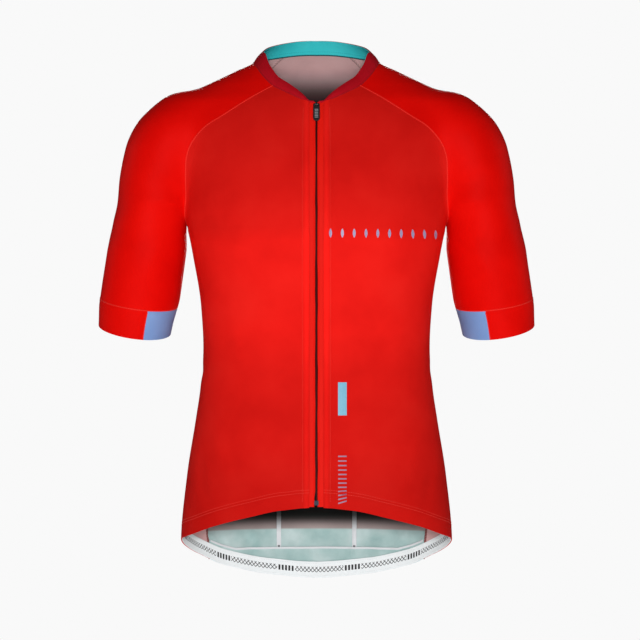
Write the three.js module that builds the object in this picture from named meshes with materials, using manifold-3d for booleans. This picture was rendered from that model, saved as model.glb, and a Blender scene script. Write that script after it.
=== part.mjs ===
// A short-sleeved, full-zip cycling jersey with raglan sleeves, filled out as when worn.
// Millimetres, +Z up, the front faces -Y, and +X is the wearer's left. The origin is the middle
// of the neck opening, level with the points where the collar meets the shoulders.
import * as THREE from 'three';
import { mergeVertices } from 'three/addons/utils/BufferGeometryUtils.js';
import Module from 'manifold-3d';

// ---- Driving dimensions

const CLOTH = 1.2; // thickness of every knitted panel
const SEAM_GAP = 0.3; // clear space between two pieces that are sewn together
const LAYER_GAP = 0.3; // clear space between two pieces that lie on each other
const TRIM = 1.0; // thickness of collar layers, tapes and the elastic band

const HEM_DEPTH = 22; // turned hem in front, elastic band behind
const POCKET_SEAM_HEIGHT = -641;
const POCKET_SEAM_ABOVE_BAND = 4; // least distance from the pocket seam down to the band
const ARMPIT_HEIGHT = -212;

const RAGLAN_STEPS = 11;
const SLEEVE_STEPS_ROUND = 20;
const BACK_NECK_STEPS = 4;

/** Turns a table into a lookup: every column follows a smooth curve over the first one. */
function smoothTable(names, rows) {
  const start = rows.map((row) => row[0]);
  const slopeAt = (column, i) => {
    if (i === 0 || i === rows.length - 1) return 0;
    const before = (rows[i][column] - rows[i - 1][column]) / (start[i] - start[i - 1]);
    const after = (rows[i + 1][column] - rows[i][column]) / (start[i + 1] - start[i]);
    return before * after <= 0 ? 0 : (2 * before * after) / (before + after);
  };
  const slopes = rows.map((row, i) => row.map((_, column) => slopeAt(column, i)));
  return (value) => {
    const at = THREE.MathUtils.clamp(value, start[0], start[start.length - 1]);
    const i = Math.max(1, start.findIndex((s) => s >= at));
    const span = start[i] - start[i - 1];
    const t = (at - start[i - 1]) / span;
    const entry = {};
    names.forEach((name, column) => {
      const rise = t * t * (3 - 2 * t);
      const leave = t * (1 - t) * (1 - t) * span * slopes[i - 1][column];
      const arrive = t * t * (t - 1) * span * slopes[i][column];
      entry[name] = THREE.MathUtils.lerp(rows[i - 1][column], rows[i][column], rise) + leave + arrive;
    });
    return entry;
  };
}

// The trunk: a rounded section at each height. Power 2 is an ellipse, more is squarer.
const trunkAt = smoothTable(['height', 'half', 'front', 'back', 'power'], [
  [-700, 177, 110, 117, 2.3],
  [-620, 176, 109, 112, 2.3],
  [-535, 168, 104, 100, 2.3],
  [-465, 157, 99, 90, 2.3],
  [-420, 150.5, 97, 86, 2.3],
  [-371, 147, 99, 89, 2.3],
  [-316, 150, 106, 99, 2.3],
  [-248, 161, 114, 112, 2.3],
  [-211, 168, 114, 118, 2.3],
  [-150, 176, 106, 119, 2.2],
  [-100, 180, 92, 112, 2.15],
  [-55, 169, 76, 101, 2.05],
  [-33, 144, 63, 95, 2],
  [-13, 107, 50, 86, 2],
  [0, 81.5, 44, 78, 2],
  [8, 79, 42, 74, 2],
  [24, 76.5, 41, 66, 2],
]);

// The upper arm: an oval at each height, closed by a rounded cap over the shoulder.
// Blend is how softly it runs into the trunk.
const armAt = smoothTable(['height', 'x', 'half', 'y', 'depth', 'blend'], [
  [-370, 240, 46.5, 23, 50, 1],
  [-342, 236.7, 48, 21, 52, 1],
  [-305, 230.5, 52, 17, 55, 1],
  [-248, 222.2, 52, 10, 58, 1],
  [-211, 217, 48.2, 6, 58, 1.5],
  [-184, 209.5, 49.5, 3, 58, 4],
  [-150, 204, 51.6, 0, 58, 8],
  [-114, 195.5, 53, 0, 58, 11],
  [-79, 185.5, 53, 0, 58, 13],
  [-47, 175.5, 53, 0, 58, 14],
]);
const CAP_CENTRE = -112;
const CAP_HEIGHT = 70.5;

// Heights of the hem and of the line of the pocket tops, over the angle in degrees from the
// middle of the front.
const hemAt = smoothTable(['angle', 'height', 'pocketTop'], [
  [0, -571, -425],
  [24, -575, -430],
  [43, -585, -440],
  [58, -596, -450],
  [72, -609, -460],
  [90, -621, -470],
  [112, -645, -477],
  [127, -663, -467],
  [149, -676, -448],
  [180, -682, -444],
]);

// Neck seam, from the zip edge round to the middle of the back.
const NECK = [
  { x: 8.9, y: -76.5, z: -58.5 },
  { x: 16, y: -75, z: -55.9 },
  { x: 29, y: -71, z: -50.2 },
  { x: 42, y: -66, z: -43.8 },
  { x: 55.7, y: -60, z: -35.6 },
  { x: 68.2, y: -47, z: -22.2 },
  { x: 76, y: -33, z: -10.5 },
  { x: 81.5, y: 0, z: 0 },
  { x: 77, y: 22, z: 5 },
  { x: 63, y: 45, z: 9.5 },
  { x: 45, y: 58, z: 13 },
  { x: 24, y: 65, z: 15.4 },
  { x: 0, y: 68, z: 16 },
];
const NECK_AT_FRONT_RAGLAN = 4;
const NECK_AT_BACK_RAGLAN = 10;

// Raglan seams, from the neck to the armpit.
const ARMPIT = { x: 168.8, y: 2, z: ARMPIT_HEIGHT };
const FRONT_RAGLAN = [
  NECK[NECK_AT_FRONT_RAGLAN],
  { x: 88, y: -65, z: -54 },
  { x: 119.6, y: -65, z: -73 },
  { x: 142.3, y: -61, z: -87 },
  { x: 159, y: -58, z: -107 },
  { x: 166, y: -56, z: -125 },
  { x: 167.7, y: -51, z: -147 },
  { x: 168, y: -36, z: -182 },
  ARMPIT,
];
const BACK_RAGLAN = [
  NECK[NECK_AT_BACK_RAGLAN],
  { x: 80, y: 58, z: -12 },
  { x: 110, y: 68, z: -38 },
  { x: 135, y: 71, z: -68 },
  { x: 152, y: 68, z: -98 },
  { x: 162, y: 59, z: -130 },
  { x: 167, y: 48, z: -162 },
  { x: 168.5, y: 28, z: -192 },
  ARMPIT,
];

// Top of the shoulder, from the neck to the outside of the arm, level with the armpit row.
const SHOULDER_LINE = [
  NECK[7],
  { x: 108, y: 0, z: -13 },
  { x: 149, y: 0, z: -33 },
  { x: 191, y: 0, z: -47 },
  { x: 218, y: 0, z: -65 },
  { x: 240, y: 0, z: -96 },
  { x: 252, y: 0, z: -134 },
  { x: 255.5, y: 1, z: -165 },
];

// Rings of the sleeve below the armpit: height on the inside and on the outside of the arm,
// and how much lower the front is than the middle.
const SLEEVE_RINGS = [
  { inner: -235, outer: -194, drop: 2 },
  { inner: -257, outer: -223, drop: 4 },
  { inner: -279, outer: -251, drop: 6 },
  { inner: -300, outer: -279, drop: 8 },
  { inner: -319, outer: -305, drop: 10 },
];
const CUFF_RING = { inner: -354.5, outer: -340.5, drop: 12 };
const CUFF_INSET_STEPS = 4; // steps round from the underarm to each edge of the blue section

// Rows of the body panels, as fractions of the way from the top seam to the line of the pocket
// tops; one more lies half-way down the pockets, then come the pocket seam, the hem seam and the hem.
const PANEL_ROWS = [0, 0.07, 0.17, 0.29, 0.42, 0.56, 0.7, 0.85, 1];
const POCKET_TOP_ROW = 8;
const POCKET_SEAM_ROW = 10;

// Angle at the hem of some columns of the front panel and of the back panel.
const frontHemAngle = smoothTable(['column', 'angle'], [
  [1, 8.4],
  [4, 36],
  [11, 90],
  [15, 118],
]);
const SIDE_SEAM_HEM_ANGLE = 118;
const FRONT_SIDE_COLUMN = 11; // the column that reaches the hem at the side of the body
const STITCHED_EDGE_COLUMNS = 2; // columns that run straight down beside the zip

// How far the collar's top edge rises and leans in, from the zip to the middle of the back.
const collarAt = smoothTable(['along', 'rise', 'lean'], [
  [0, 3, 3.5],
  [0.13, 8, 7],
  [0.3, 14, 10],
  [0.42, 16, 12.5],
  [0.52, 13.8, 11.8],
  [0.75, 17, 9],
  [1, 18.4, 5],
]);

const ZIP_TAPE = { edge: 1.4, short: 1 }; // from the middle line, and from the ends of the front
const ZIP_CHAIN = { half: 1.1, depth: 0.5, thickness: 2.4, leastStep: 5 };
const ZIP_STOP = { width: 8, height: 6, thickness: 2, above: 3 };

// The slider: two plates, the bridge between them, and two lugs that carry the pin of the tab.
const SLIDER_HEIGHT = -65; // middle of the slider
const SLIDER = { width: 8.4, length: 10, frontPlate: 1.4, backPlate: 1.2, frontFace: -1.45, backFace: 4.5 };
const SLIDER_BRIDGE = { width: 2, length: 2, above: 3 };
const ROOT = 0.5; // how far the bridge and the lugs run into a plate
const PIN = { radius: 0.7, y: -3.55, z: 1.9 };
const LUG = { inner: 2, outer: 2.8, length: 3.2, beyondPin: 1.2 };
const TAB = { eye: 1.75, hole: 1.05, neck: 1.7, neckEnd: 2.6, shoulder: 4.6, half: 4.4, reach: 23 };
const TAB_THICKNESS = 1.5;

const POCKET_TAPE = { x: 51, half: 3 };
const POCKET_SEAM_TAPE = 3;
const POCKET_FROM_SIDE_SEAM = 3;
const POCKET_LIFT = 0.5; // clear space between the back and the empty pocket on it

// ---- The form that all the cloth lies on

/** Distance outside a rounded section: how far a point lies beyond the section on its own ray. */
function beyond(length, ratio) {
  return length * (1 - 1 / Math.max(ratio, 1e-6));
}

function trunkField(p) {
  const s = trunkAt(p.z);
  const depth = p.y < 0 ? s.front : s.back;
  const sum = (Math.abs(p.x) / s.half) ** s.power + (Math.abs(p.y) / depth) ** s.power;
  return beyond(Math.hypot(p.x, p.y), sum ** (1 / s.power));
}

function armField(p) {
  const s = armAt(p.z);
  const x = Math.abs(p.x) - s.x;
  const y = p.y - s.y;
  const z = Math.max(0, p.z - CAP_CENTRE);
  return beyond(Math.hypot(x, y, z), Math.hypot(x / s.half, y / s.depth, z / CAP_HEIGHT));
}

/** Trunk and arms run into each other above the armpit. */
function bodyField(p) {
  const trunk = trunkField(p);
  const arm = armField(p);
  const { blend } = armAt(p.z);
  return Math.min(trunk, arm) - blend * Math.log(1 + Math.exp(-Math.abs(trunk - arm) / blend));
}

// From the armpit down, the trunk and the arm are separate tubes.
const joined = (p) => p.z > ARMPIT_HEIGHT + 1;
const trunkCloth = (p) => (joined(p) ? bodyField(p) : trunkField(p));
const sleeveCloth = (p) => (joined(p) ? bodyField(p) : armField(p));

function gradient(field, p) {
  const step = 0.02;
  const slope = (axis) => {
    const ahead = p.clone();
    const behind = p.clone();
    ahead[axis] += step;
    behind[axis] -= step;
    return (field(ahead) - field(behind)) / (2 * step);
  };
  return new THREE.Vector3(slope('x'), slope('y'), slope('z'));
}

/** Brings a point onto the surface where a field is zero. */
function settle(point, field) {
  const p = point.clone();
  for (let i = 0; i < 8; i += 1) {
    const slope = gradient(field, p);
    p.addScaledVector(slope, -field(p) / slope.lengthSq());
  }
  return p;
}

// ---- Seam lines

const vector = ({ x, y, z }) => new THREE.Vector3(x, y, z);

/** Points at even distances along part of a curve through the listed points. */
function spaced(knots, first, last, steps) {
  const curve = new THREE.CatmullRomCurve3(knots.map(vector), false, 'centripetal');
  const fine = 240;
  const span = knots.length - 1;
  const line = Array.from({ length: fine + 1 }, (_, i) =>
    curve.getPoint((first + ((last - first) * i) / fine) / span));
  const travelled = [0];
  line.slice(1).forEach((p, i) => travelled.push(travelled[i] + p.distanceTo(line[i])));
  return Array.from({ length: steps + 1 }, (_, k) => {
    const goal = (travelled[fine] * k) / steps;
    const i = Math.min(fine, Math.max(1, travelled.findIndex((d) => d >= goal)));
    return line[i - 1].clone().lerp(line[i], (goal - travelled[i - 1]) / (travelled[i] - travelled[i - 1]));
  });
}

/** A raglan seam on the form; its last point is the armpit, where trunk and arm only touch. */
function raglanSeam(knots) {
  const line = spaced(knots, 0, knots.length - 1, RAGLAN_STEPS);
  return line.map((p, i) => (i < RAGLAN_STEPS ? settle(p, bodyField) : p));
}

const onNeck = (points) => points.map((p) => settle(p, trunkField));
const neckFront = onNeck(NECK.slice(0, NECK_AT_FRONT_RAGLAN + 1).map(vector));
const neckSleeve = onNeck(spaced(NECK, NECK_AT_FRONT_RAGLAN, NECK_AT_BACK_RAGLAN, SLEEVE_STEPS_ROUND));
const neckBack = onNeck(spaced(NECK, NECK_AT_BACK_RAGLAN, NECK.length - 1, BACK_NECK_STEPS));
const frontSeam = raglanSeam(FRONT_RAGLAN);
const backSeam = raglanSeam(BACK_RAGLAN);

// ---- Grids of points, row by row, with the outward direction at each point

function gridOf(rows, field) {
  const normals = rows.map((row) => row.map((p) => gradient(field, p).normalize()));
  return { points: rows, normals };
}

const mirrored = ({ points, normals }) => {
  const flip = (rows) => rows.map((row) => row.map((v) => new THREE.Vector3(-v.x, v.y, v.z)));
  return { points: flip(points), normals: flip(normals) };
};

/** Joins grids side by side; where two meet, the shared column is kept once. */
function beside(...grids) {
  const join = (key) =>
    grids[0][key].map((_, r) => grids.flatMap((grid, g) => grid[key][r].slice(g === 0 ? 0 : 1)));
  return { points: join('points'), normals: join('normals') };
}

const backwards = ({ points, normals }) => ({
  points: points.map((row) => [...row].reverse()),
  normals: normals.map((row) => [...row].reverse()),
});

/** Part of a grid: some of its rows and columns. */
function cut({ points, normals }, rows, columns) {
  const pick = (table) =>
    table.slice(rows[0], rows[1] + 1).map((row) => row.slice(columns[0], columns[1] + 1));
  return { points: pick(points), normals: pick(normals) };
}

/** 1 where down the rows, along the columns and outwards are a right-handed set, or else -1. */
function handOf({ points, normals }) {
  const down = points[1][0].clone().sub(points[0][0]);
  const across = points[0][1].clone().sub(points[0][0]);
  return Math.sign(down.cross(across).dot(normals[0][0]));
}

/** Draws the named edges of a grid back from the seam, square to the seam and along the cloth. */
function trimmed(grid, amounts) {
  const { points, normals } = grid;
  const out = points.map((row) => row.map((p) => p.clone()));
  const hand = handOf(grid);
  const lastRow = points.length - 1;
  const lastColumn = points[0].length - 1;
  const draw = (r, c, before, after, amount) => {
    const away = after.clone().sub(before).cross(normals[r][c]).normalize();
    out[r][c].addScaledVector(away, hand * amount);
  };
  for (let c = 0; c <= lastColumn; c += 1) {
    const c1 = Math.max(0, c - 1);
    const c2 = Math.min(lastColumn, c + 1);
    if (amounts.top) draw(0, c, points[0][c1], points[0][c2], amounts.top);
    if (amounts.bottom) draw(lastRow, c, points[lastRow][c1], points[lastRow][c2], -amounts.bottom);
  }
  const sideRows = amounts.sideRows ?? lastRow;
  for (let r = 0; r <= sideRows; r += 1) {
    const r1 = Math.max(0, r - 1);
    const r2 = Math.min(lastRow, r + 1);
    if (amounts.start) draw(r, 0, points[r1][0], points[r2][0], -amounts.start);
    if (amounts.end) draw(r, lastColumn, points[r1][lastColumn], points[r2][lastColumn], amounts.end);
  }
  return { points: out, normals };
}

/** Draws the two ends of every row in, towards their neighbours. */
function shortened({ points, normals }, distance) {
  const towards = (from, to) => from.clone().add(to.clone().sub(from).setLength(distance));
  const rows = points.map((row) => {
    const last = row.length - 1;
    return [towards(row[0], row[1]), ...row.slice(1, last), towards(row[last], row[last - 1])];
  });
  return { points: rows, normals };
}

const HALF_GAP = SEAM_GAP / 2;

/** Angle round the trunk in radians, from the middle of the front. */
const angleOf = (p) => Math.atan2(p.x, -p.y);

function trunkPoint(angle, height) {
  const s = trunkAt(height);
  const across = Math.sin(angle);
  const ahead = -Math.cos(angle);
  const depth = ahead < 0 ? s.front : s.back;
  const sum = (Math.abs(across) / s.half) ** s.power + (Math.abs(ahead) / depth) ** s.power;
  const radius = sum ** (-1 / s.power);
  return new THREE.Vector3(radius * across, radius * ahead, height);
}

/** One column of a body panel, from its top seam down to the hem. */
function bodyColumn(top, hemAngle, straight) {
  const straightDown = angleOf({ x: top.x, y: -trunkAt(hemAt(0).height).front });
  const bottom = straight ? straightDown : hemAngle;
  const { height: hem, pocketTop } = hemAt(THREE.MathUtils.radToDeg(bottom));
  const pocketSeam = Math.max(POCKET_SEAM_HEIGHT, hem + HEM_DEPTH + POCKET_SEAM_ABOVE_BAND);
  const heights = PANEL_ROWS.map((row) => THREE.MathUtils.lerp(top.z, pocketTop, row));
  heights.push((pocketTop + pocketSeam) / 2, pocketSeam, hem + HEM_DEPTH, hem);
  return heights.map((height, row) => {
    if (row === 0) return top;
    const way = (top.z - height) / (top.z - hem);
    const angle = THREE.MathUtils.lerp(angleOf(top), bottom, way);
    const p = settle(trunkPoint(angle, height), trunkCloth);
    return straight ? settle(new THREE.Vector3(top.x, p.y, p.z), trunkCloth) : p;
  });
}

function fromColumns(columns, field) {
  const rows = columns[0].map((_, r) => columns.map((column) => column[r]));
  return gridOf(rows, field);
}

// ---- Closed walls

function solid(name, geometry, finish) {
  const mesh = new THREE.Mesh(geometry, new THREE.MeshStandardMaterial(finish));
  mesh.name = name;
  return mesh;
}

/** A wall over a grid, with its outer face `depth` inside the grid. Each cell folds along its
    shorter diagonal, and each stretch of an edge along the diagonal that takes it away from the
    piece beyond the seam. From row `sewnFrom` on, the first and last columns are the same. */
function wall(grid, depth, thickness, sewnFrom = Infinity) {
  const { points, normals } = grid;
  const rows = points.length;
  const columns = points[0].length;
  const hand = handOf(grid);
  const corners = [depth, depth + thickness].flatMap((inset) =>
    points.flatMap((row, r) => row.map((p, c) => p.clone().addScaledVector(normals[r][c], -inset))));
  const at = (face, r, c) => (face * rows + r) * columns + c;
  const index = [];
  const quad = (a, b, c, d) => index.push(a, b, c, a, c, d);
  const edge = (a, b, c, d) => {
    const [ab, ac, ad] = [b, c, d].map((i) => corners[i].clone().sub(corners[a]));
    if (hand * ab.dot(ac.cross(ad)) > 0) quad(a, b, c, d);
    else quad(b, c, d, a);
  };
  for (let r = 0; r < rows - 1; r += 1) {
    for (let c = 0; c < columns - 1; c += 1) {
      const falling = points[r][c].distanceTo(points[r + 1][c + 1]);
      const rising = points[r + 1][c].distanceTo(points[r][c + 1]);
      const turn = falling <= rising ? 0 : 1;
      const round = [[r, c], [r + 1, c], [r + 1, c + 1], [r, c + 1]];
      const [first, ...others] = round.map((_, k) => round[(k + turn) % 4]);
      quad(...[first, ...others].map(([i, j]) => at(0, i, j)));
      quad(...[first, ...others.reverse()].map(([i, j]) => at(1, i, j)));
    }
    if (r < sewnFrom) {
      const c = columns - 1;
      edge(at(0, r, 0), at(1, r, 0), at(1, r + 1, 0), at(0, r + 1, 0));
      edge(at(0, r, c), at(0, r + 1, c), at(1, r + 1, c), at(1, r, c));
    }
  }
  for (let c = 0; c < columns - 1; c += 1) {
    const r = rows - 1;
    edge(at(0, 0, c), at(0, 0, c + 1), at(1, 0, c + 1), at(1, 0, c));
    edge(at(0, r, c), at(1, r, c), at(1, r, c + 1), at(0, r, c + 1));
  }
  if (hand < 0) index.reverse();
  const geometry = new THREE.BufferGeometry().setFromPoints(corners);
  geometry.setIndex(index);
  return mergeVertices(geometry, 1e-4);
}

// ---- Finishes

const BODY_KNIT = { color: 0xd41a14, roughness: 0.75 };
const SLEEVE_KNIT = { color: 0xcf1210, roughness: 0.6 };
const CUFF_BLUE = { color: 0x7890c2, roughness: 0.6 };
const COLLAR_CRIMSON = { color: 0xa60d17, roughness: 0.7 };
const COLLAR_TURQUOISE = { color: 0x31b6bc, roughness: 0.7 };
const WHITE_TAPE = { color: 0xdde1e3, roughness: 0.8 };
const HEM_ELASTIC = { color: 0xe6ecec, roughness: 0.8 };
const ZIP_RED = { color: 0xe01008, roughness: 0.8 };
const ZIP_COIL = { color: 0x8e1210, roughness: 0.5 };
const ZIP_STOP_RESIN = { color: 0x7d8aa8, roughness: 0.4 };
const ZIP_METAL = { color: 0x1a1a1d, roughness: 0.4, metalness: 0.3 };
const TAB_RUBBER = { color: 0x1a1a1d, roughness: 0.45 };

const jersey = new THREE.Group();

// ---- Body panels

const frontTops = [...neckFront, ...frontSeam.slice(1)];
const frontColumns = frontTops.map((top, i) =>
  bodyColumn(top, THREE.MathUtils.degToRad(frontHemAngle(i).angle), i < STITCHED_EDGE_COLUMNS));
const frontGrid = fromColumns(frontColumns, trunkCloth);

const backTops = [...backSeam.slice(1).reverse(), ...neckBack];
const backHemAngle = (i) => THREE.MathUtils.lerp(SIDE_SEAM_HEM_ANGLE, 180, i / (backTops.length - 1));
const backColumns = backTops.map((top, i) =>
  bodyColumn(top, THREE.MathUtils.degToRad(backHemAngle(i)), false));
const halfBackGrid = fromColumns(backColumns, trunkCloth);
const backGrid = beside(halfBackGrid, backwards(mirrored(halfBackGrid)));

const SIDES = [
  { side: 'left', turn: (grid) => grid },
  { side: 'right', turn: mirrored },
];

for (const { side, turn } of SIDES) {
  const panel = trimmed(turn(frontGrid), { top: HALF_GAP, end: HALF_GAP });
  jersey.add(solid(`front_${side}`, wall(panel, 0, CLOTH), BODY_KNIT));
}
const backPanel = trimmed(backGrid, { top: HALF_GAP, start: HALF_GAP, end: HALF_GAP });
jersey.add(solid('back', wall(backPanel, 0, CLOTH), BODY_KNIT));

// ---- Sleeves and cuffs

/** A row of sleeve points: part of an oval, from the front edge over the outside to the back edge. */
function sleeveRow(front, outside, back, depth, drop) {
  const half = back.clone().sub(front).multiplyScalar(0.5);
  const middle = front.clone().add(back).multiplyScalar(0.5);
  const reach = Math.max(depth, half.length());
  const sweep = Math.PI - Math.asin(half.length() / reach);
  const closing = Math.cos(sweep);
  const centre = middle.clone().addScaledVector(outside, -closing).divideScalar(1 - closing);
  const closed = half.length() < 1;
  const sideways = closed ? new THREE.Vector3(0, reach, drop) : half.clone().setLength(reach);
  const outwards = outside.clone().sub(centre);
  return Array.from({ length: SLEEVE_STEPS_ROUND + 1 }, (_, i) => {
    if (i === 0) return front;
    if (i === SLEEVE_STEPS_ROUND) return back;
    const turn = sweep * ((2 * i) / SLEEVE_STEPS_ROUND - 1);
    const p = centre.clone().addScaledVector(outwards, Math.cos(turn));
    return settle(p.addScaledVector(sideways, Math.sin(turn)), sleeveCloth);
  });
}

/** A closed ring round the arm. */
function armRing({ inner, outer, drop }) {
  const inside = armAt(inner);
  const outside = armAt(outer);
  const under = new THREE.Vector3(inside.x - inside.half, inside.y, inner);
  const over = new THREE.Vector3(outside.x + outside.half, outside.y, outer);
  return sleeveRow(under, over, under, inside.depth, drop);
}

const shoulderLine = spaced(SHOULDER_LINE, 0, SHOULDER_LINE.length - 1, RAGLAN_STEPS);
const armDepth = armAt(ARMPIT_HEIGHT).depth;
const raglanRows = frontSeam.map((front, j) =>
  j === 0 ? neckSleeve : sleeveRow(front, settle(shoulderLine[j], bodyField), backSeam[j], armDepth, 0));
const sleeveGrid = gridOf([...raglanRows, ...SLEEVE_RINGS.map(armRing)], sleeveCloth);
const cuffRings = [SLEEVE_RINGS[SLEEVE_RINGS.length - 1], CUFF_RING];
const cuffGrid = gridOf(cuffRings.map(armRing), sleeveCloth);

for (const { side, turn } of SIDES) {
  const allEdges = { top: HALF_GAP, bottom: HALF_GAP, start: HALF_GAP, end: HALF_GAP };
  const sleeve = trimmed(turn(sleeveGrid), { ...allEdges, sideRows: RAGLAN_STEPS - 1 });
  // At the armpit the sleeve is drawn away from the body; below it the ring closes on itself.
  const armpit = sleeve.points[RAGLAN_STEPS];
  for (const c of [0, SLEEVE_STEPS_ROUND]) {
    armpit[c].x += Math.sign(armpit[c].x) * SEAM_GAP;
    armpit[c].z -= SEAM_GAP;
  }
  const cuffEdge = sleeve.points[sleeve.points.length - 1];
  cuffEdge[SLEEVE_STEPS_ROUND].copy(cuffEdge[0]);
  jersey.add(solid(`sleeve_${side}`, wall(sleeve, 0, CLOTH, RAGLAN_STEPS), SLEEVE_KNIT));

  const ring = turn(cuffGrid);
  const edgesOfBand = { top: HALF_GAP, start: HALF_GAP, end: HALF_GAP };
  const last = SLEEVE_STEPS_ROUND;
  const band = cut(ring, [0, 1], [CUFF_INSET_STEPS, last - CUFF_INSET_STEPS]);
  const behindUnderarm = cut(ring, [0, 1], [last - CUFF_INSET_STEPS, last]);
  const inset = beside(behindUnderarm, cut(ring, [0, 1], [0, CUFF_INSET_STEPS]));
  jersey.add(solid(`cuff_${side}`, wall(trimmed(band, edgesOfBand), 0, CLOTH), SLEEVE_KNIT));
  jersey.add(solid(`cuff_${side}_inset`, wall(trimmed(inset, edgesOfBand), 0, CLOTH), CUFF_BLUE));
}

// ---- Collar: a crimson outer layer and a turquoise lining

const halfNeck = [...neckFront, ...neckSleeve.slice(1), ...neckBack.slice(1)];
const neckLengths = halfNeck.reduce((sums, p, i) => {
  sums.push(i === 0 ? 0 : sums[i - 1] + p.distanceTo(halfNeck[i - 1]));
  return sums;
}, []);

/** Both rows of the collar: on the neck seam, and at the top edge. */
function collarGrid() {
  const last = halfNeck.length - 1;
  const foot = halfNeck.map((p) => ({ point: p, normal: gradient(trunkField, p).normalize() }));
  const top = halfNeck.map((p, i) => {
    const { rise, lean } = collarAt(neckLengths[i] / neckLengths[last]);
    const along = halfNeck[Math.min(last, i + 1)].clone().sub(halfNeck[Math.max(0, i - 1)]);
    const inward = new THREE.Vector3(-along.y, along.x, 0).normalize();
    if (i === last) inward.set(0, -1, 0);
    const point = p.clone().addScaledVector(inward, lean);
    point.z += rise;
    const outward = along.cross(point.clone().sub(p)).normalize();
    if (i === last) outward.x = 0;
    if (outward.dot(inward) > 0) outward.negate();
    return { point, normal: outward.normalize() };
  });
  return {
    points: [top, foot].map((row) => row.map(({ point }) => point)),
    normals: [top, foot].map((row) => row.map(({ normal }) => normal)),
  };
}

const halfCollar = collarGrid();
const collar = trimmed(beside(halfCollar, backwards(mirrored(halfCollar))), { bottom: HALF_GAP });
jersey.add(solid('collar_outer', wall(collar, 0, TRIM), COLLAR_CRIMSON));
jersey.add(solid('collar_lining', wall(collar, TRIM + LAYER_GAP, TRIM), COLLAR_TURQUOISE));

// ---- Elastic band inside the back hem, from one side of the body to the other

const hemRows = [POCKET_SEAM_ROW + 1, POCKET_SEAM_ROW + 2];
const frontLast = frontTops.length - 1;
const sideOfHem = cut(frontGrid, hemRows, [FRONT_SIDE_COLUMN, frontLast]);
const backOfHem = cut(backGrid, hemRows, [0, backGrid.points[0].length - 1]);
const bandGrid = beside(sideOfHem, backOfHem, backwards(mirrored(sideOfHem)));
jersey.add(solid('hem_gripper', wall(bandGrid, CLOTH + LAYER_GAP, TRIM), HEM_ELASTIC));

// ---- Pockets on the lower back: one panel outside, and white tapes inside along its seams

const backLast = backGrid.points[0].length - 1;
const pocketGrid = cut(backGrid, [POCKET_TOP_ROW, POCKET_SEAM_ROW], [0, backLast]);
const pocket = shortened(pocketGrid, POCKET_FROM_SIDE_SEAM);
jersey.add(solid('pocket_panel', wall(pocket, -POCKET_LIFT - CLOTH, CLOTH), BODY_KNIT));

/** Points of a grid row at given distances from the middle line. */
function acrossRow({ points, normals }, row, distances) {
  const found = distances.map((x) => {
    const c = points[row].findIndex((p) => p.x <= x);
    const share = (x - points[row][c].x) / (points[row][c - 1].x - points[row][c].x);
    const blend = (table) => table[row][c].clone().lerp(table[row][c - 1], share);
    return { point: blend(points), normal: blend(normals).normalize() };
  });
  return { points: found.map((f) => f.point), normals: found.map((f) => f.normal) };
}

function stripDown(grid, rows, distances) {
  const lines = rows.map((row) => acrossRow(grid, row, distances));
  return { points: lines.map((line) => line.points), normals: lines.map((line) => line.normals) };
}

const pocketRows = [POCKET_TOP_ROW, POCKET_TOP_ROW + 1, POCKET_SEAM_ROW];
const pocketTapeEdges = [POCKET_TAPE.x + POCKET_TAPE.half, POCKET_TAPE.x - POCKET_TAPE.half];
const pocketStrip = stripDown(backGrid, pocketRows, pocketTapeEdges);
for (const { side, turn } of SIDES) {
  const tape = trimmed(turn(pocketStrip), { bottom: POCKET_SEAM_TAPE / 2 + LAYER_GAP });
  jersey.add(solid(`pocket_tape_${side}`, wall(tape, CLOTH + LAYER_GAP, TRIM), WHITE_TAPE));
}

/** A narrow strip that lies half above and half below one row of a grid. */
function stripAlong(grid, row, width) {
  const line = (step) => grid.points[row].map((p, c) => {
    const next = grid.points[row + step][c].clone().sub(p);
    return p.clone().add(next.setLength(width / 2));
  });
  const normals = grid.normals[row];
  return { points: [line(-1), grid.points[row], line(1)], normals: [normals, normals, normals] };
}
const seamStrip = shortened(stripAlong(backGrid, POCKET_SEAM_ROW, POCKET_SEAM_TAPE), POCKET_FROM_SIDE_SEAM);
jersey.add(solid('pocket_seam_tape', wall(seamStrip, CLOTH + LAYER_GAP, TRIM), WHITE_TAPE));

// ---- Zip: tapes behind the front edges, the chain, the box at its foot, the slider and its tab

/** Points at one distance from the middle line, level with the rows of the front panel's edge. */
function zipLine(x, heights) {
  return heights.map((height) => {
    const s = trunkAt(height);
    const y = -s.front * (1 - (x / s.half) ** s.power) ** (1 / s.power);
    return new THREE.Vector3(x, y, height);
  });
}

const zipHeights = frontColumns[0].map((p) => p.z);
const edgeColumns = cut(frontGrid, [0, zipHeights.length - 1], [0, STITCHED_EDGE_COLUMNS - 1]);
const innerEdge = fromColumns([zipLine(ZIP_TAPE.edge, zipHeights), frontColumns[0]], trunkField);
const tapeGrid = beside(innerEdge, edgeColumns);
for (const { side, turn } of SIDES) {
  const tape = trimmed(turn(tapeGrid), { top: ZIP_TAPE.short, bottom: ZIP_TAPE.short });
  jersey.add(solid(`zip_tape_${side}`, wall(tape, CLOTH + LAYER_GAP, TRIM), ZIP_RED));
}

const hemHeight = zipHeights[zipHeights.length - 1];
const stopTop = hemHeight + ZIP_STOP.above + ZIP_STOP.height;
const chainHeights = [
  SLIDER_HEIGHT,
  ...zipHeights.filter((z) => z < SLIDER_HEIGHT - ZIP_CHAIN.leastStep && z > stopTop + ZIP_CHAIN.leastStep),
  stopTop + LAYER_GAP,
];
const chainColumns = [-ZIP_CHAIN.half, ZIP_CHAIN.half].map((x) =>
  zipLine(0, chainHeights).map((p) => p.setX(x)));
const chainGrid = fromColumns(chainColumns, trunkField);
jersey.add(solid('zip_chain', wall(chainGrid, ZIP_CHAIN.depth, ZIP_CHAIN.thickness), ZIP_COIL));

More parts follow.
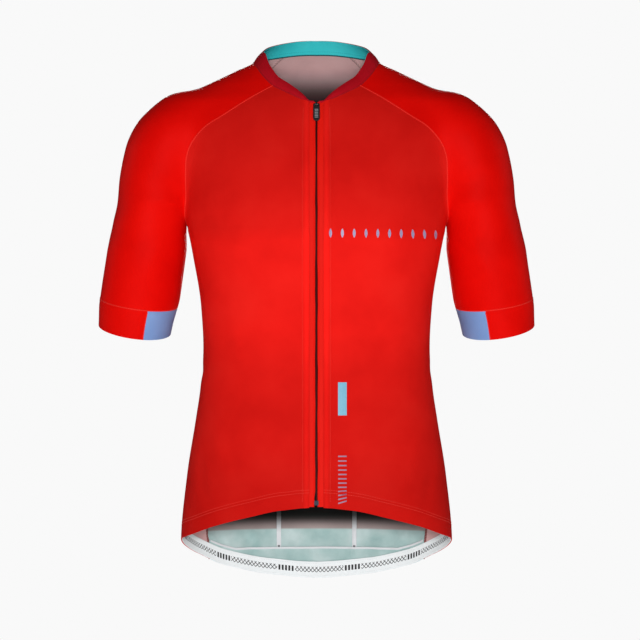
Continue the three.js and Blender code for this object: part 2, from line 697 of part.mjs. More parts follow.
/** A group that stands on the middle of the front, turned so that its -Y points straight out. */
function onZip(height) {
  const [point] = zipLine(0, [height]);
  const out = gradient(trunkField, point).normalize();
  const group = new THREE.Group();
  group.position.copy(point);
  group.rotation.x = -Math.atan2(out.z, -out.y);
  jersey.add(group);
  return group;
}

const stopGeometry = new THREE.BoxGeometry(ZIP_STOP.width, ZIP_STOP.thickness, ZIP_STOP.height);
stopGeometry.translate(0, CLOTH - ZIP_STOP.thickness / 2, 0);
onZip(hemHeight + ZIP_STOP.above + ZIP_STOP.height / 2)
  .add(solid('zip_bottom_stop', stopGeometry, ZIP_STOP_RESIN));

const wasm = await Module();
wasm.setup();

/** The same shape as a solid that can be joined to others. */
function toManifold(geometry) {
  const bare = geometry.clone();
  bare.deleteAttribute('normal');
  bare.deleteAttribute('uv');
  const merged = mergeVertices(bare, 1e-5);
  return new wasm.Manifold(new wasm.Mesh({
    numProp: 3,
    vertProperties: new Float32Array(merged.attributes.position.array),
    triVerts: new Uint32Array(merged.index.array),
  }));
}

function fromManifold(shape) {
  const mesh = shape.getMesh();
  const geometry = new THREE.BufferGeometry();
  geometry.setAttribute('position', new THREE.BufferAttribute(mesh.vertProperties, 3));
  geometry.setIndex(new THREE.BufferAttribute(mesh.triVerts, 1));
  return geometry;
}

/** A block between two corners. */
function block(x0, x1, y0, y1, z0, z1) {
  return new THREE.BoxGeometry(x1 - x0, y1 - y0, z1 - z0)
    .translate((x0 + x1) / 2, (y0 + y1) / 2, (z0 + z1) / 2);
}

function sliderGeometry() {
  const { width, length, frontPlate, backPlate, frontFace, backFace } = SLIDER;
  const half = width / 2;
  const { width: bridge, above, length: bridgeLength } = SLIDER_BRIDGE;
  const lugTop = PIN.z + LUG.length / 2;
  const lug = (x0, x1) =>
    block(x0, x1, PIN.y - LUG.beyondPin, frontFace + ROOT, lugTop - LUG.length, lugTop);
  const pin = new THREE.CylinderGeometry(PIN.radius, PIN.radius, LUG.inner + LUG.outer, 12)
    .rotateZ(Math.PI / 2)
    .translate(0, PIN.y, PIN.z);
  const pieces = [
    block(-half, half, frontFace, frontFace + frontPlate, -length / 2, length / 2),
    block(-half, half, backFace - backPlate, backFace, -length / 2, length / 2),
    block(-bridge / 2, bridge / 2, frontFace + ROOT, backFace - ROOT, above, above + bridgeLength),
    lug(LUG.inner, LUG.outer),
    lug(-LUG.outer, -LUG.inner),
    pin,
  ];
  return fromManifold(pieces.map(toManifold).reduce((whole, piece) => whole.add(piece)));
}

/** The tab lies in its own frame with the pin at the origin, and hangs down along -Z. */
function tabGeometry() {
  const { eye, hole, neck, neckEnd, shoulder, half, reach } = TAB;
  const plate = new THREE.Shape();
  plate.moveTo(-neck, 0);
  plate.lineTo(-neck, -neckEnd);
  plate.lineTo(-half, -shoulder);
  plate.lineTo(-half, -reach + half);
  plate.absarc(0, -reach + half, half, Math.PI, 2 * Math.PI, false);
  plate.lineTo(half, -shoulder);
  plate.lineTo(neck, -neckEnd);
  plate.lineTo(neck, 0);
  plate.closePath();
  const flat = { depth: TAB_THICKNESS, bevelEnabled: false, curveSegments: 8 };
  const body = new THREE.ExtrudeGeometry(plate, flat)
    .translate(0, 0, -TAB_THICKNESS / 2)
    .rotateX(Math.PI / 2);
  const barrel = new THREE.CylinderGeometry(eye, eye, 2 * neck, 16).rotateZ(Math.PI / 2);
  const bore = new THREE.CylinderGeometry(hole, hole, 2 * neck + 1, 16).rotateZ(Math.PI / 2);
  return fromManifold(toManifold(body).add(toManifold(barrel)).subtract(toManifold(bore)));
}

const slider = onZip(SLIDER_HEIGHT);
slider.add(solid('zip_slider', sliderGeometry(), ZIP_METAL));
const tab = solid('zip_pull_tab', tabGeometry(), TAB_RUBBER);
tab.position.set(0, PIN.y, PIN.z);
slider.add(tab);

export default jersey;
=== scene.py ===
import bpy
import numpy as np
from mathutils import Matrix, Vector


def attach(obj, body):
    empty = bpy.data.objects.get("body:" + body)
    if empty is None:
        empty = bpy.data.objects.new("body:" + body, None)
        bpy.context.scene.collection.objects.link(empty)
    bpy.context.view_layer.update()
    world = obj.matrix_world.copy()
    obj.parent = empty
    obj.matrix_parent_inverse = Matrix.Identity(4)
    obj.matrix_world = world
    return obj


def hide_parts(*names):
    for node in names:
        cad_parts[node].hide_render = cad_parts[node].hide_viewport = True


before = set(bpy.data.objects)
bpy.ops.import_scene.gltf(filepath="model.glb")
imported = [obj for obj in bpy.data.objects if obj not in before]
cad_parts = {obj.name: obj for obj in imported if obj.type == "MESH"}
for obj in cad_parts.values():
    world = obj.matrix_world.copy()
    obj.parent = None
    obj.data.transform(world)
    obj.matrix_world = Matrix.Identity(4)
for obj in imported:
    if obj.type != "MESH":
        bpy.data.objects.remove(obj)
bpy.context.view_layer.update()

# A short-sleeved, full-zip cycling jersey with raglan sleeves, filled out as when it is worn.
# Shapes are worked out in millimetres, on the same form as the solids, and made in metres.

# ---------------------------------------------------------------- Front panels
# Two panels of red warp-knit polyester, cut to lie close over the chest. Each edge beside the
# zip is folded back over its tape and stitched down, and the hem is turned up 22 mm under a
# twin row of stitches.


def smooth_table(rows):
    """A lookup over a table's first column: the others follow monotone cubics, level at the ends."""
    table = np.array(rows, float)
    knots, values = table[:, 0], table[:, 1:]
    rate = np.diff(values, axis=0) / np.diff(knots)[:, None]
    product, total = rate[:-1] * rate[1:], rate[:-1] + rate[1:]
    slopes = np.zeros_like(values)
    slopes[1:-1] = np.where(product > 0, 2 * product / np.where(product > 0, total, 1), 0)

    def at(where):
        here = np.clip(where, knots[0], knots[-1])
        i = np.clip(np.searchsorted(knots, here), 1, len(knots) - 1)
        span = (knots[i] - knots[i - 1])[..., None]
        t = (here - knots[i - 1])[..., None] / span
        rise = values[i - 1] + (values[i] - values[i - 1]) * t * t * (3 - 2 * t)
        bend = t * (1 - t) * span * ((1 - t) * slopes[i - 1] - t * slopes[i])
        return np.moveaxis(rise + bend, -1, 0)

    return at


# The trunk: half width, depth in front, depth behind, and how square each section is.
trunk_at = smooth_table([  # height, half, front, back, power
    (-700, 177, 110, 117, 2.3), (-620, 176, 109, 112, 2.3), (-535, 168, 104, 100, 2.3),
    (-465, 157, 99, 90, 2.3), (-420, 150.5, 97, 86, 2.3), (-371, 147, 99, 89, 2.3),
    (-316, 150, 106, 99, 2.3), (-248, 161, 114, 112, 2.3), (-211, 168, 114, 118, 2.3),
    (-150, 176, 106, 119, 2.2), (-100, 180, 92, 112, 2.15), (-55, 169, 76, 101, 2.05),
    (-33, 144, 63, 95, 2), (-13, 107, 50, 86, 2), (0, 81.5, 44, 78, 2), (8, 79, 42, 74, 2),
    (24, 76.5, 41, 66, 2),
])

# The upper arm: an oval at each height, and how softly it runs into the trunk.
arm_at = smooth_table([  # height, x, half, y, depth, blend
    (-370, 240, 46.5, 23, 50, 1), (-342, 236.7, 48, 21, 52, 1), (-305, 230.5, 52, 17, 55, 1),
    (-248, 222.2, 52, 10, 58, 1), (-211, 217, 48.2, 6, 58, 1.5), (-184, 209.5, 49.5, 3, 58, 4),
    (-150, 204, 51.6, 0, 58, 8), (-114, 195.5, 53, 0, 58, 11), (-79, 185.5, 53, 0, 58, 13),
    (-47, 175.5, 53, 0, 58, 14),
])
CAP_CENTRE, CAP_HEIGHT = -112, 70.5  # the rounded top of the arm

# Heights of the hem and of the pocket tops, over the angle in degrees from the middle front.
hem_at = smooth_table([  # angle, hem, pocket top
    (0, -571, -425), (24, -575, -430), (43, -585, -440), (58, -596, -450), (72, -609, -460),
    (90, -621, -470), (112, -645, -477), (127, -663, -467), (149, -676, -448), (180, -682, -444),
])

# The neck seam, from the edge of the zip round to the middle of the back.
NECK = [
    (8.9, -76.5, -58.5), (16, -75, -55.9), (29, -71, -50.2), (42, -66, -43.8), (55.7, -60, -35.6),
    (68.2, -47, -22.2), (76, -33, -10.5), (81.5, 0, 0), (77, 22, 5), (63, 45, 9.5),
    (45, 58, 13), (24, 65, 15.4), (0, 68, 16),
]
FRONT_RAGLAN_KNOT, BACK_RAGLAN_KNOT = 4, 10  # where the sleeve's seams leave the neck seam
ARMPIT = (168.8, 2, -212)
FRONT_RAGLAN = [
    NECK[FRONT_RAGLAN_KNOT], (88, -65, -54), (119.6, -65, -73), (142.3, -61, -87), (159, -58, -107),
    (166, -56, -125), (167.7, -51, -147), (168, -36, -182), ARMPIT,
]
BACK_RAGLAN = [
    NECK[BACK_RAGLAN_KNOT], (80, 58, -12), (110, 68, -38), (135, 71, -68), (152, 68, -98),
    (162, 59, -130), (167, 48, -162), (168.5, 28, -192), ARMPIT,
]
SEAM_STEPS = 11  # the last of these steps of a raglan seam runs straight to the armpit


def ease(t):
    """0 below 0, 1 above 1, and the smooth step 3t^2 - 2t^3 between."""
    t = np.clip(t, 0, 1)
    return t * t * (3 - 2 * t)


def bell(distance, width):
    """A soft bump, e^-(distance/width)^2."""
    return np.exp(-((distance / width) ** 2))


def trunk_field(p):
    """How far points lie outside the trunk: r(1 - 1/q), with q their ratio to its superellipse."""
    half, front, back, power = trunk_at(p[..., 2])
    depth = np.where(p[..., 1] < 0, front, back)
    ratio = ((np.abs(p[..., 0]) / half) ** power + (np.abs(p[..., 1]) / depth) ** power) ** (1 / power)
    return np.hypot(p[..., 0], p[..., 1]) * (1 - 1 / np.maximum(ratio, 1e-6))


def arm_field(p):
    """How far points lie outside the arm, an oval column under an ellipsoidal cap."""
    middle, half, ahead, depth, _ = arm_at(p[..., 2])
    x, y = np.abs(p[..., 0]) - middle, p[..., 1] - ahead
    z = np.maximum(0, p[..., 2] - CAP_CENTRE)
    ratio = np.sqrt((x / half) ** 2 + (y / depth) ** 2 + (z / CAP_HEIGHT) ** 2)
    return np.sqrt(x * x + y * y + z * z) * (1 - 1 / np.maximum(ratio, 1e-6))


def joined_field(p):
    """Trunk and arm as one form: the smaller distance less b ln(1 + e^(-|difference|/b))."""
    trunk, arm, blend = trunk_field(p), arm_field(p), arm_at(p[..., 2])[4]
    return np.minimum(trunk, arm) - blend * np.log1p(np.exp(-np.abs(trunk - arm) / blend))


def above_armpit(p):
    """1 above the armpit and 0 below it, changing over 10 mm of height."""
    return ease((p[..., 2] - ARMPIT[2] + 4) / 10)


def trunk_cloth(p):
    """The joined form above the armpit, and the trunk alone below it."""
    return trunk_field(p) + above_armpit(p) * (joined_field(p) - trunk_field(p))


def arm_cloth(p):
    """The joined form above the armpit, and the arm alone below it."""
    return arm_field(p) + above_armpit(p) * (joined_field(p) - arm_field(p))


def slope(field, p, reach=0.02):
    """A field's gradient, by differences over a reach to both sides."""
    steps = reach * np.eye(3)
    return np.stack([(field(p + step) - field(p - step)) / (2 * reach) for step in steps], axis=-1)


def settle(p, field):
    """Newton's steps down a field's gradient, onto the surface where it is zero."""
    for _ in range(7):
        g = slope(field, p)
        p = p - g * (field(p) / (g * g).sum(-1))[..., None]
    return p


def unit(v):
    """Vectors scaled to length one."""
    return v / np.maximum(np.linalg.norm(v, axis=-1, keepdims=True), 1e-9)


def through(knots, t):
    """The centripetal Catmull-Rom curve through the knots, at t counted in knots."""
    k = np.array(knots, float)
    k = np.vstack([2 * k[0] - k[1], k, 2 * k[-1] - k[-2]])
    i = np.clip(np.floor(t).astype(int), 0, len(knots) - 2)
    s = (t - i)[:, None]
    a, b, c, d = (k[i + j] for j in range(4))
    ab, bc, cd = (np.sqrt(np.linalg.norm(q - p, axis=1))[:, None] for p, q in ((a, b), (b, c), (c, d)))
    leave = ((b - a) / ab - (c - a) / (ab + bc) + (c - b) / bc) * bc
    arrive = ((c - b) / bc - (d - b) / (bc + cd) + (d - c) / cd) * bc
    return (b * (2 * s**3 - 3 * s**2 + 1) + leave * (s**3 - 2 * s**2 + s)
            + c * (3 * s**2 - 2 * s**3) + arrive * (s**3 - s**2))


def lengths(path):
    """The distance travelled along a path, at each of its points."""
    return np.concatenate([[0], np.cumsum(np.linalg.norm(np.diff(path, axis=0), axis=1))])


def evenly(knots, first, last, shares):
    """Points at shares of the length of part of the curve through the knots."""
    t = np.linspace(first, last, 400)
    run = lengths(through(knots, t))
    return through(knots, np.interp(np.asarray(shares) * run[-1], run, t))


def raglan(knots, shares):
    """A raglan seam on the form, ending in a straight run to the armpit."""
    bend = (SEAM_STEPS - 1) / SEAM_STEPS
    on_form = settle(evenly(knots, 0, len(knots) - 1, np.minimum(shares, bend)), joined_field)
    run = ((np.maximum(shares, bend) - bend) / (1 - bend))[:, None]
    return on_form + run * (np.array(ARMPIT) - on_form)


def angle_of(p):
    """Angle round the trunk in radians, from the middle of the front."""
    return np.arctan2(p[..., 0], -p[..., 1])


def degrees_round(p):
    """Degrees round the trunk from the middle of the front, the same on both sides."""
    return np.degrees(np.abs(angle_of(p)))


def trunk_point(angle, height):
    """The point of the trunk's section at an angle and a height."""
    half, front, back, power = trunk_at(height)
    across, ahead = np.sin(angle), -np.cos(angle)
    depth = np.where(ahead < 0, front, back)
    radius = ((np.abs(across) / half) ** power + (np.abs(ahead) / depth) ** power) ** (-1 / power)
    return np.stack([radius * across, radius * ahead, height + 0 * radius], axis=-1)


# Soft troughs and ridges of the worn cloth. Each follows a smooth line over the form through
# three points, is deepest halfway, and dies away at its ends and to both sides.
CREASES = [  # from, by, to, half width, height
    # across the front of the sleeves, out of the armpits
    ((171, -42, -176), (190, -52, -160), (226, -50, -150), 11, -1.6),
    ((170, -38, -192), (192, -52, -184), (232, -46, -178), 9, 1.1),
    ((-171, -42, -174), (-188, -52, -163), (-218, -52, -157), 12, -1.4),
    ((-170, -36, -194), (-196, -52, -182), (-236, -44, -184), 8, 1.0),
    # out of the armpits over the chest
    ((166, -48, -190), (150, -70, -206), (112, -92, -214), 9, -1.0),
    ((-166, -46, -186), (-152, -70, -204), (-108, -92, -209), 10, -1.1),
    ((165, -40, -222), (146, -76, -236), (96, -102, -246), 12, 1.2),
    ((-164, -42, -220), (-140, -80, -238), (-70, -108, -243), 12, 1.4),
    # down the chest and the belly
    ((-112, -86, -330), (-102, -84, -372), (-86, -88, -412), 13, 1.0),
    ((118, -76, -318), (108, -80, -352), (92, -86, -398), 14, 0.9),
    ((-62, -98, -352), (-44, -98, -384), (-20, -99, -402), 16, -0.7),
    ((72, -96, -360), (52, -98, -388), (24, -99, -410), 15, -0.6),
    ((-134, -70, -470), (-124, -78, -508), (-104, -88, -548), 12, 1.2),
    ((136, -70, -476), (124, -80, -520), (100, -92, -562), 12, 1.3),
    ((-150, -52, -500), (-146, -60, -540), (-134, -72, -578), 9, -0.9),
    ((150, -54, -508), (144, -64, -548), (128, -78, -586), 10, -1.0),
    ((-100, -86, -452), (-84, -90, -440), (-58, -93, -434), 11, -0.6),
    ((104, -84, -446), (84, -90, -436), (62, -92, -432), 12, -0.5),
    # the waist, at the sides and behind
    ((150, -20, -398), (149, 20, -406), (130, 56, -416), 9, -1.5),
    ((-150, -24, -404), (-149, 16, -398), (-128, 58, -392), 9, -1.6),
    ((148, 24, -430), (132, 56, -440), (96, 72, -436), 8, 1.3),
    ((-148, 30, -422), (-128, 60, -428), (-84, 76, -434), 8, 1.2),
    ((96, 74, -404), (40, 86, -412), (-34, 86, -404), 12, -2.0),
    ((70, 82, -376), (6, 90, -384), (-78, 82, -372), 12, 1.4),
    ((-92, 78, -350), (-40, 92, -358), (18, 94, -346), 12, -1.2),
    # out of the armpits over the shoulder blades
    ((165, 44, -196), (138, 84, -208), (88, 112, -204), 10, -1.8),
    ((-165, 46, -192), (-134, 88, -210), (-76, 114, -214), 10, -1.9),
    ((163, 50, -224), (132, 88, -246), (84, 108, -262), 12, 1.5),
    ((-162, 54, -228), (-128, 92, -252), (-92, 104, -274), 12, 1.6),
    ((118, 74, -66), (96, 100, -104), (66, 116, -150), 14, -1.0),
    ((-116, 74, -64), (-98, 100, -112), (-58, 116, -164), 14, -1.1),
    # the back of the arms, and their outside
    ((174, 44, -170), (200, 58, -166), (236, 44, -158), 10, -1.7),
    ((-174, 44, -168), (-204, 58, -172), (-240, 40, -166), 10, -1.8),
    ((182, 48, -214), (212, 64, -222), (250, 44, -214), 11, 1.2),
    ((-180, 48, -208), (-214, 64, -228), (-252, 40, -222), 11, 1.3),
    ((262, 6, -232), (268, 12, -258), (266, 22, -288), 10, -0.9),
    ((-264, -2, -228), (-268, 8, -252), (-268, 18, -282), 10, -1.0),
    # the lower sleeves
    ((196, -34, -232), (214, -42, -262), (232, -38, -292), 11, 0.9),
    ((-194, -36, -228), (-210, -42, -258), (-226, -40, -290), 11, 0.9),
    # below the pockets
    ((-90, 92, -618), (-84, 98, -648), (-82, 100, -672), 8, 0.8),
    ((-28, 108, -616), (-30, 110, -650), (-24, 112, -678), 9, -0.8),
    ((12, 108, -612), (16, 110, -648), (14, 112, -676), 7, 0.7),
    ((78, 96, -616), (82, 98, -650), (74, 104, -674), 9, -0.9),
]
CREASE_STEPS, FULLNESS = 20, 1.5  # steps along a crease, and how far all are deepened
along_crease = np.linspace(0, 1, CREASE_STEPS + 1)
crease_lines = [(settle(evenly(ends, 0, 2, along_crease), joined_field), width, FULLNESS * height)
                for *ends, width, height in CREASES]


def creases(p):
    """How far the cloth stands out. Each crease is a row of bells along its line, their heights
    an arch from end to end, scaled so that side by side they add up to the crease's height."""
    flat = p.reshape(-1, 3)
    out = np.zeros(len(flat))
    half, arch = CREASE_STEPS // 2, 1 - np.linspace(-1, 1, CREASE_STEPS + 1) ** 2
    for line, width, height in crease_lines:
        step = lengths(line)[-1] / CREASE_STEPS
        near = np.flatnonzero(np.linalg.norm(flat - line[half], axis=1) < 3 * width + half * step)
        away = np.linalg.norm(flat[near, None] - line, axis=2)
        out[near] += height * step / (width * np.sqrt(np.pi)) * (arch * bell(away, width)).sum(1)
    return out.reshape(p.shape[:-1])


SHARP, ROUNDED = np.radians(42), np.radians(50)  # turns that shade as an edge, and that are rounded


def put(name, points, faces, materials, body="jersey", uv=None, wears=None):
    """Makes a piece of a mesh in millimetres, with its materials and body."""
    mesh = bpy.data.meshes.new(name)
    mesh.from_pydata(np.asarray(points, float).reshape(-1, 3) / 1000, [], faces)
    for material in materials:
        mesh.materials.append(material)
    if wears is not None:
        mesh.polygons.foreach_set("material_index", wears)
    if uv is not None:
        corners = np.empty(len(mesh.loops), int)
        mesh.loops.foreach_get("vertex_index", corners)
        layer = mesh.uv_layers.new(name="cloth")
        layer.uv.foreach_set("vector", uv.reshape(-1, 2)[corners].ravel())
    mesh.polygons.foreach_set("use_smooth", np.ones(len(mesh.polygons), bool))
    mesh.set_sharp_from_angle(angle=SHARP)
    mesh.update()
    piece = bpy.data.objects.new(name, mesh)
    bpy.context.scene.collection.objects.link(piece)
    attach(piece, body)
    return piece


def soften(piece, width):
    """Rounds a piece's edges, by a width in millimetres."""
    bevel = piece.modifiers.new("rounded edges", "BEVEL")
    bevel.width, bevel.segments = width / 1000, 2
    bevel.limit_method, bevel.angle_limit = "ANGLE", ROUNDED


def quads(a, b, c, d):
    """Four-sided faces from four equal arrays of corner numbers."""
    return np.stack([a, b, c, d], axis=-1).reshape(-1, 4)


def hand_of(grid, out):
    """1 where down the rows, along the columns and outwards are a right-handed set, or else -1."""
    return np.sign(np.cross(grid[1, 0] - grid[0, 0], grid[0, 1] - grid[0, 0]) @ out[0, 0])


def wall(number, open_rows=slice(None)):
    """Faces of a closed wall: those of a grid of corner numbers, the same ones turned round for
    the grid behind it, whose numbers follow on, and a rim along its four edges."""
    behind = number.size
    face = quads(number[:-1, :-1], number[1:, :-1], number[1:, 1:], number[:-1, 1:])
    edges = ((number[0, :-1], number[0, 1:]), (number[-1, 1:], number[-1, :-1]),
             (number[open_rows, 0][1:], number[open_rows, 0][:-1]),
             (number[open_rows, -1][:-1], number[open_rows, -1][1:]))
    rims = [quads(a, b, b + behind, a + behind) for a, b in edges]
    return np.vstack([face, face[:, ::-1] + behind, *rims])


def run_over(grid, axis):
    """The distance travelled over a grid's points along one axis."""
    steps = np.cumsum(np.linalg.norm(np.diff(grid, axis=axis), axis=2), axis=axis)
    return np.pad(steps, ((1, 0), (0, 0)) if axis == 0 else ((0, 0), (1, 0)))


def shell(name, points, out, thickness, materials, sewn_from=None):
    """A closed wall of cloth in a node's place: an outer grid, the same grid moved in, and a rim
    round both. Its UVs are distances across and down the cloth in metres. From row sewn_from on,
    the last column is the first one again."""
    rows, columns = points.shape[:2]
    number = np.arange(rows * columns).reshape(rows, columns)
    open_rows = slice(None)
    if sewn_from is not None:
        number[sewn_from:, -1] = number[sewn_from:, 0]
        open_rows = slice(0, sewn_from + 1)
    faces = wall(number, open_rows)[:, ::int(hand_of(points, out))]
    used, numbers = np.unique(faces, return_inverse=True)
    cells = (rows - 1) * (columns - 1)
    wears = np.zeros(len(faces), int)
    wears[cells:2 * cells] = len(materials) - 1
    inner = points - np.asarray(thickness)[..., None] * out
    both = np.concatenate([points.reshape(-1, 3), inner.reshape(-1, 3)])
    across, down = run_over(points, 1), run_over(points, 0)
    uv = np.stack([across - across[:, [columns // 2]], -down], axis=-1).reshape(-1, 2) / 1000
    piece = put(f"{name}.cloth", both[used], numbers.reshape(-1, 4).tolist(), materials,
                uv=np.tile(uv, (2, 1))[used], wears=wears)
    soften(piece, 0.3 * np.min(thickness))
    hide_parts(name)
    return piece


def sweep(name, path, out, profile, material):
    """A profile carried along a path: its first number runs across the path and its second
    outwards, both in millimetres. The ends are closed. UVs are distances round and along."""
    along = unit(np.gradient(path, axis=0))
    across = unit(np.cross(along, out))
    up = np.cross(across, along)
    shape = np.array(profile)
    points = path[:, None] + shape[:, :1] * across[:, None] + shape[:, 1:] * up[:, None]
    rows, sides = points.shape[:2]
    number = np.arange(rows * sides).reshape(rows, sides)
    turned = np.roll(number, -1, axis=1)
    faces = quads(number[:-1], number[1:], turned[1:], turned[:-1]).tolist()
    faces += [number[0].tolist(), number[-1, ::-1].tolist()]
    round_it = np.pad(np.cumsum(np.hypot(*np.diff(shape, axis=0).T)), (1, 0))
    uv = np.stack(np.broadcast_arrays(round_it, lengths(path)[:, None]), axis=-1) / 1000
    return put(name, points, faces, [material], uv=uv)


def half_round(half, height, sunk=0.4):
    """The profile of a raised seam: half an ellipse, on a base that is sunk in the cloth."""
    turn = np.linspace(0, np.pi, 7)
    arch = np.stack([half * np.cos(turn), height * np.sin(turn)], axis=1)
    return [(half, -sunk), *arch.tolist(), (-half, -sunk)]


def stitches(name, paths, pitch, size, material):
    """Rows of stitches: each is a spindle along its path, from a ring of five points at each third
    to a point at each end. Its size is its length, width and height in millimetres."""
    ring = np.linspace(0, 2 * np.pi, 6)[:-1]
    rings = [(x, 0.5 * np.cos(a), 0.5 * np.sin(a)) for x in (-0.28, 0.28) for a in ring]
    spindle = np.array([(-0.5, 0, 0), *rings, (0.5, 0, 0)]) * size
    one, two = np.arange(1, 6), np.arange(6, 11)
    next_one, next_two = np.roll(one, -1), np.roll(two, -1)
    tips = np.stack([[0 * one, next_one, one], [0 * two + 11, two, next_two]]).transpose(0, 2, 1)
    tips, tube = tips.reshape(-1, 3), quads(one, next_one, next_two, two)
    points, faces = [], []
    for path, out in paths:
        run = lengths(path)
        at = np.arange(pitch / 2, run[-1], pitch)
        place, up, ahead = (
            np.stack([np.interp(at, run, v[:, i]) for i in range(3)], axis=1)
            for v in (path, out, unit(np.gradient(path, axis=0))))
        axes = np.stack([unit(ahead), unit(np.cross(up, ahead)), unit(up)], axis=1)
        starts = 12 * (sum(map(len, points)) + np.arange(len(at)))[:, None, None]
        points.append(place[:, None] + spindle @ axes)
        faces += (starts + tips).reshape(-1, 3).tolist() + (starts + tube).reshape(-1, 4).tolist()
    return put(name, np.concatenate(points), faces, [material])


def colour(code):
    """An sRGB hex code as linear RGBA: v/12.92 below 0.04045, ((v + 0.055)/1.055)^2.4 above."""
    v = np.array([int(code[i:i + 2], 16) for i in (1, 3, 5)]) / 255
    return (*np.where(v <= 0.04045, v / 12.92, ((v + 0.055) / 1.055) ** 2.4), 1.0)


def node(tree, kind, inputs=(), **settings):
    """Adds a node with its settings; each input is a value, or the socket that it is linked to."""
    made = tree.nodes.new(kind)
    for key, value in settings.items():
        setattr(made, key, value)
    for key, value in dict(inputs).items():
        if isinstance(value, bpy.types.NodeSocket):
            tree.links.new(value, made.inputs[key])
        else:
            made.inputs[key].default_value = value
    return made


def finish_of(name, **shader):
    """A new material: its node tree and its shader, with the shader's own sockets set."""
    material = bpy.data.materials.new(name)
    material.use_nodes = True
    surface = material.node_tree.nodes["Principled BSDF"]
    for key, value in shader.items():
        surface.inputs[key.replace("_", " ")].default_value = value
    return material, material.node_tree, surface


def ramp(tree, factor, stops):
    """A colour ramp through (place, hex code) stops."""
    made = node(tree, "ShaderNodeValToRGB", {"Fac": factor})
    elements = made.color_ramp.elements
    while len(elements) < len(stops):
        elements.new(0.5)
    for element, (place, code) in zip(elements, stops):
        element.position, element.color = place, colour(code)
    return made.outputs["Color"]


def sums(tree, operation, a, b=0.0, c=0.0):
    """One step of arithmetic on sockets or numbers."""
    return node(tree, "ShaderNodeMath", {0: a, 1: b, 2: c}, operation=operation).outputs[0]


def cloth_place(tree):
    """The distances across and down the cloth, in metres."""
    uv = node(tree, "ShaderNodeUVMap", uv_map="cloth").outputs["UV"]
    place = node(tree, "ShaderNodeSeparateXYZ", {"Vector": uv})
    return place.outputs["X"], place.outputs["Y"]


def dressed(tree, surface, paint, height=None, depth=0.0, strength=0.0):
    """Gives a shader its colour, and a relief from a height, with its depth in metres."""
    tree.links.new(paint, surface.inputs["Base Color"])
    if strength:
        relief = {"Height": height, "Distance": depth, "Strength": strength}
        bump = node(tree, "ShaderNodeBump", relief)
        tree.links.new(bump.outputs["Normal"], surface.inputs["Normal"])


def toned(tree, paint, stops):
    """A colour multiplied by tones, each an sRGB hex code at a height in metres, from the top."""
    place = node(tree, "ShaderNodeTexCoord").outputs["Object"]
    height = node(tree, "ShaderNodeSeparateXYZ", {"Vector": place}).outputs["Z"]
    top, end = stops[0][0], stops[-1][0]
    level = node(tree, "ShaderNodeMapRange", {"Value": height, 1: top, 2: end}).outputs[0]
    tones = ramp(tree, level, [((top - z) / (top - end), code) for z, code in stops])
    return node(tree, "ShaderNodeMix", {0: 1.0, 6: paint, 7: tones}, data_type="RGBA",
                blend_type="MULTIPLY").outputs[2]


def knit(name, shades, wale, course, depth, tone=None, **shader):
    """Dyed knit, from a dark, a middle and a light shade. Stitch columns lie `wale` apart and
    their loops `course` apart; the height is sin(pi |x|) sin(2 pi (y + 0.4|x|)), with x across a
    column from -1 to 1, so that each loop is a V. Soft clouds of the shades lie under it, and
    the gaps between the loops are darker. A tone deepens the shades by height."""
    material, tree, surface = finish_of(name, **shader)
    across, down = cloth_place(tree)
    x = sums(tree, "MULTIPLY", sums(tree, "PINGPONG", sums(tree, "DIVIDE", across, wale), 0.5), 2)
    y = sums(tree, "MULTIPLY_ADD", x, 0.4, sums(tree, "DIVIDE", down, course))
    loop = sums(tree, "SINE", sums(tree, "MULTIPLY", y, 2 * np.pi))
    yarn = sums(tree, "SINE", sums(tree, "MULTIPLY", x, np.pi))
    height = sums(tree, "MULTIPLY_ADD", sums(tree, "MULTIPLY", loop, yarn), 0.5, 0.5)
    place = node(tree, "ShaderNodeTexCoord").outputs["Object"]
    clouds = node(tree, "ShaderNodeTexNoise", {"Vector": place, "Scale": 16.0, "Detail": 4.0})
    cloudy = ramp(tree, clouds.outputs["Fac"], list(zip((0.32, 0.5, 0.7), shades)))
    gaps = ramp(tree, height, list(zip((0.0, 0.55, 1.0), shades)))
    mixed = node(tree, "ShaderNodeMix", {0: 0.45, 6: cloudy, 7: gaps}, data_type="RGBA").outputs[2]
    if tone:
        mixed = toned(tree, mixed, tone)
    dressed(tree, surface, mixed, height, depth, 0.6)
    return material


# Warp-knit polyester, dyed by sublimation: an even saturated red with a soft, dull sheen. The
# wales are 1.1 mm apart, about double the real ones, which would be too fine to show.
WALE, COURSE, LOOP = 0.0011, 0.0013, 0.00016
BODY_RED, BODY_PINK = ("#E31611", "#F11C16", "#F9251D"), ("#C49B9A", "#D6AAA9", "#E2B9B8")
PAINTED_SHADE_BY_HEIGHT = [  # painted shade: the red is darkened over the shoulders and towards the hem, and is lightest over the chest: height in metres, tone
    (-0.06, "#DBDBDB"), (-0.15, "#E5E5E5"), (-0.218, "#F0F0F0"), (-0.236, "#FFFFFF"),
    (-0.30, "#F9F9F9"), (-0.35, "#F9F9F9"), (-0.40, "#EAEAEA"), (-0.45, "#E3E3E3"),
    (-0.50, "#E1E1E1"), (-0.545, "#D5D5D5"),
]
# The dull finish also carries the painted shade by height, onto the red fronts and back.
DULL_AND_PAINTED_SHADE = {"Roughness": 0.65, "Specular_IOR_Level": 0.02, "tone": PAINTED_SHADE_BY_HEIGHT}
CHALKY = {"Roughness": 0.8, "Specular_IOR_Level": 0.05}
body_red = knit("warp knit polyester, red", BODY_RED, WALE, COURSE, LOOP, **DULL_AND_PAINTED_SHADE)
# The back of the same cloth: the dye hardly strikes through, so it is a dusty pink.
pink_reverse = knit("warp knit polyester, pink reverse", BODY_PINK, WALE, COURSE, LOOP, **CHALKY)


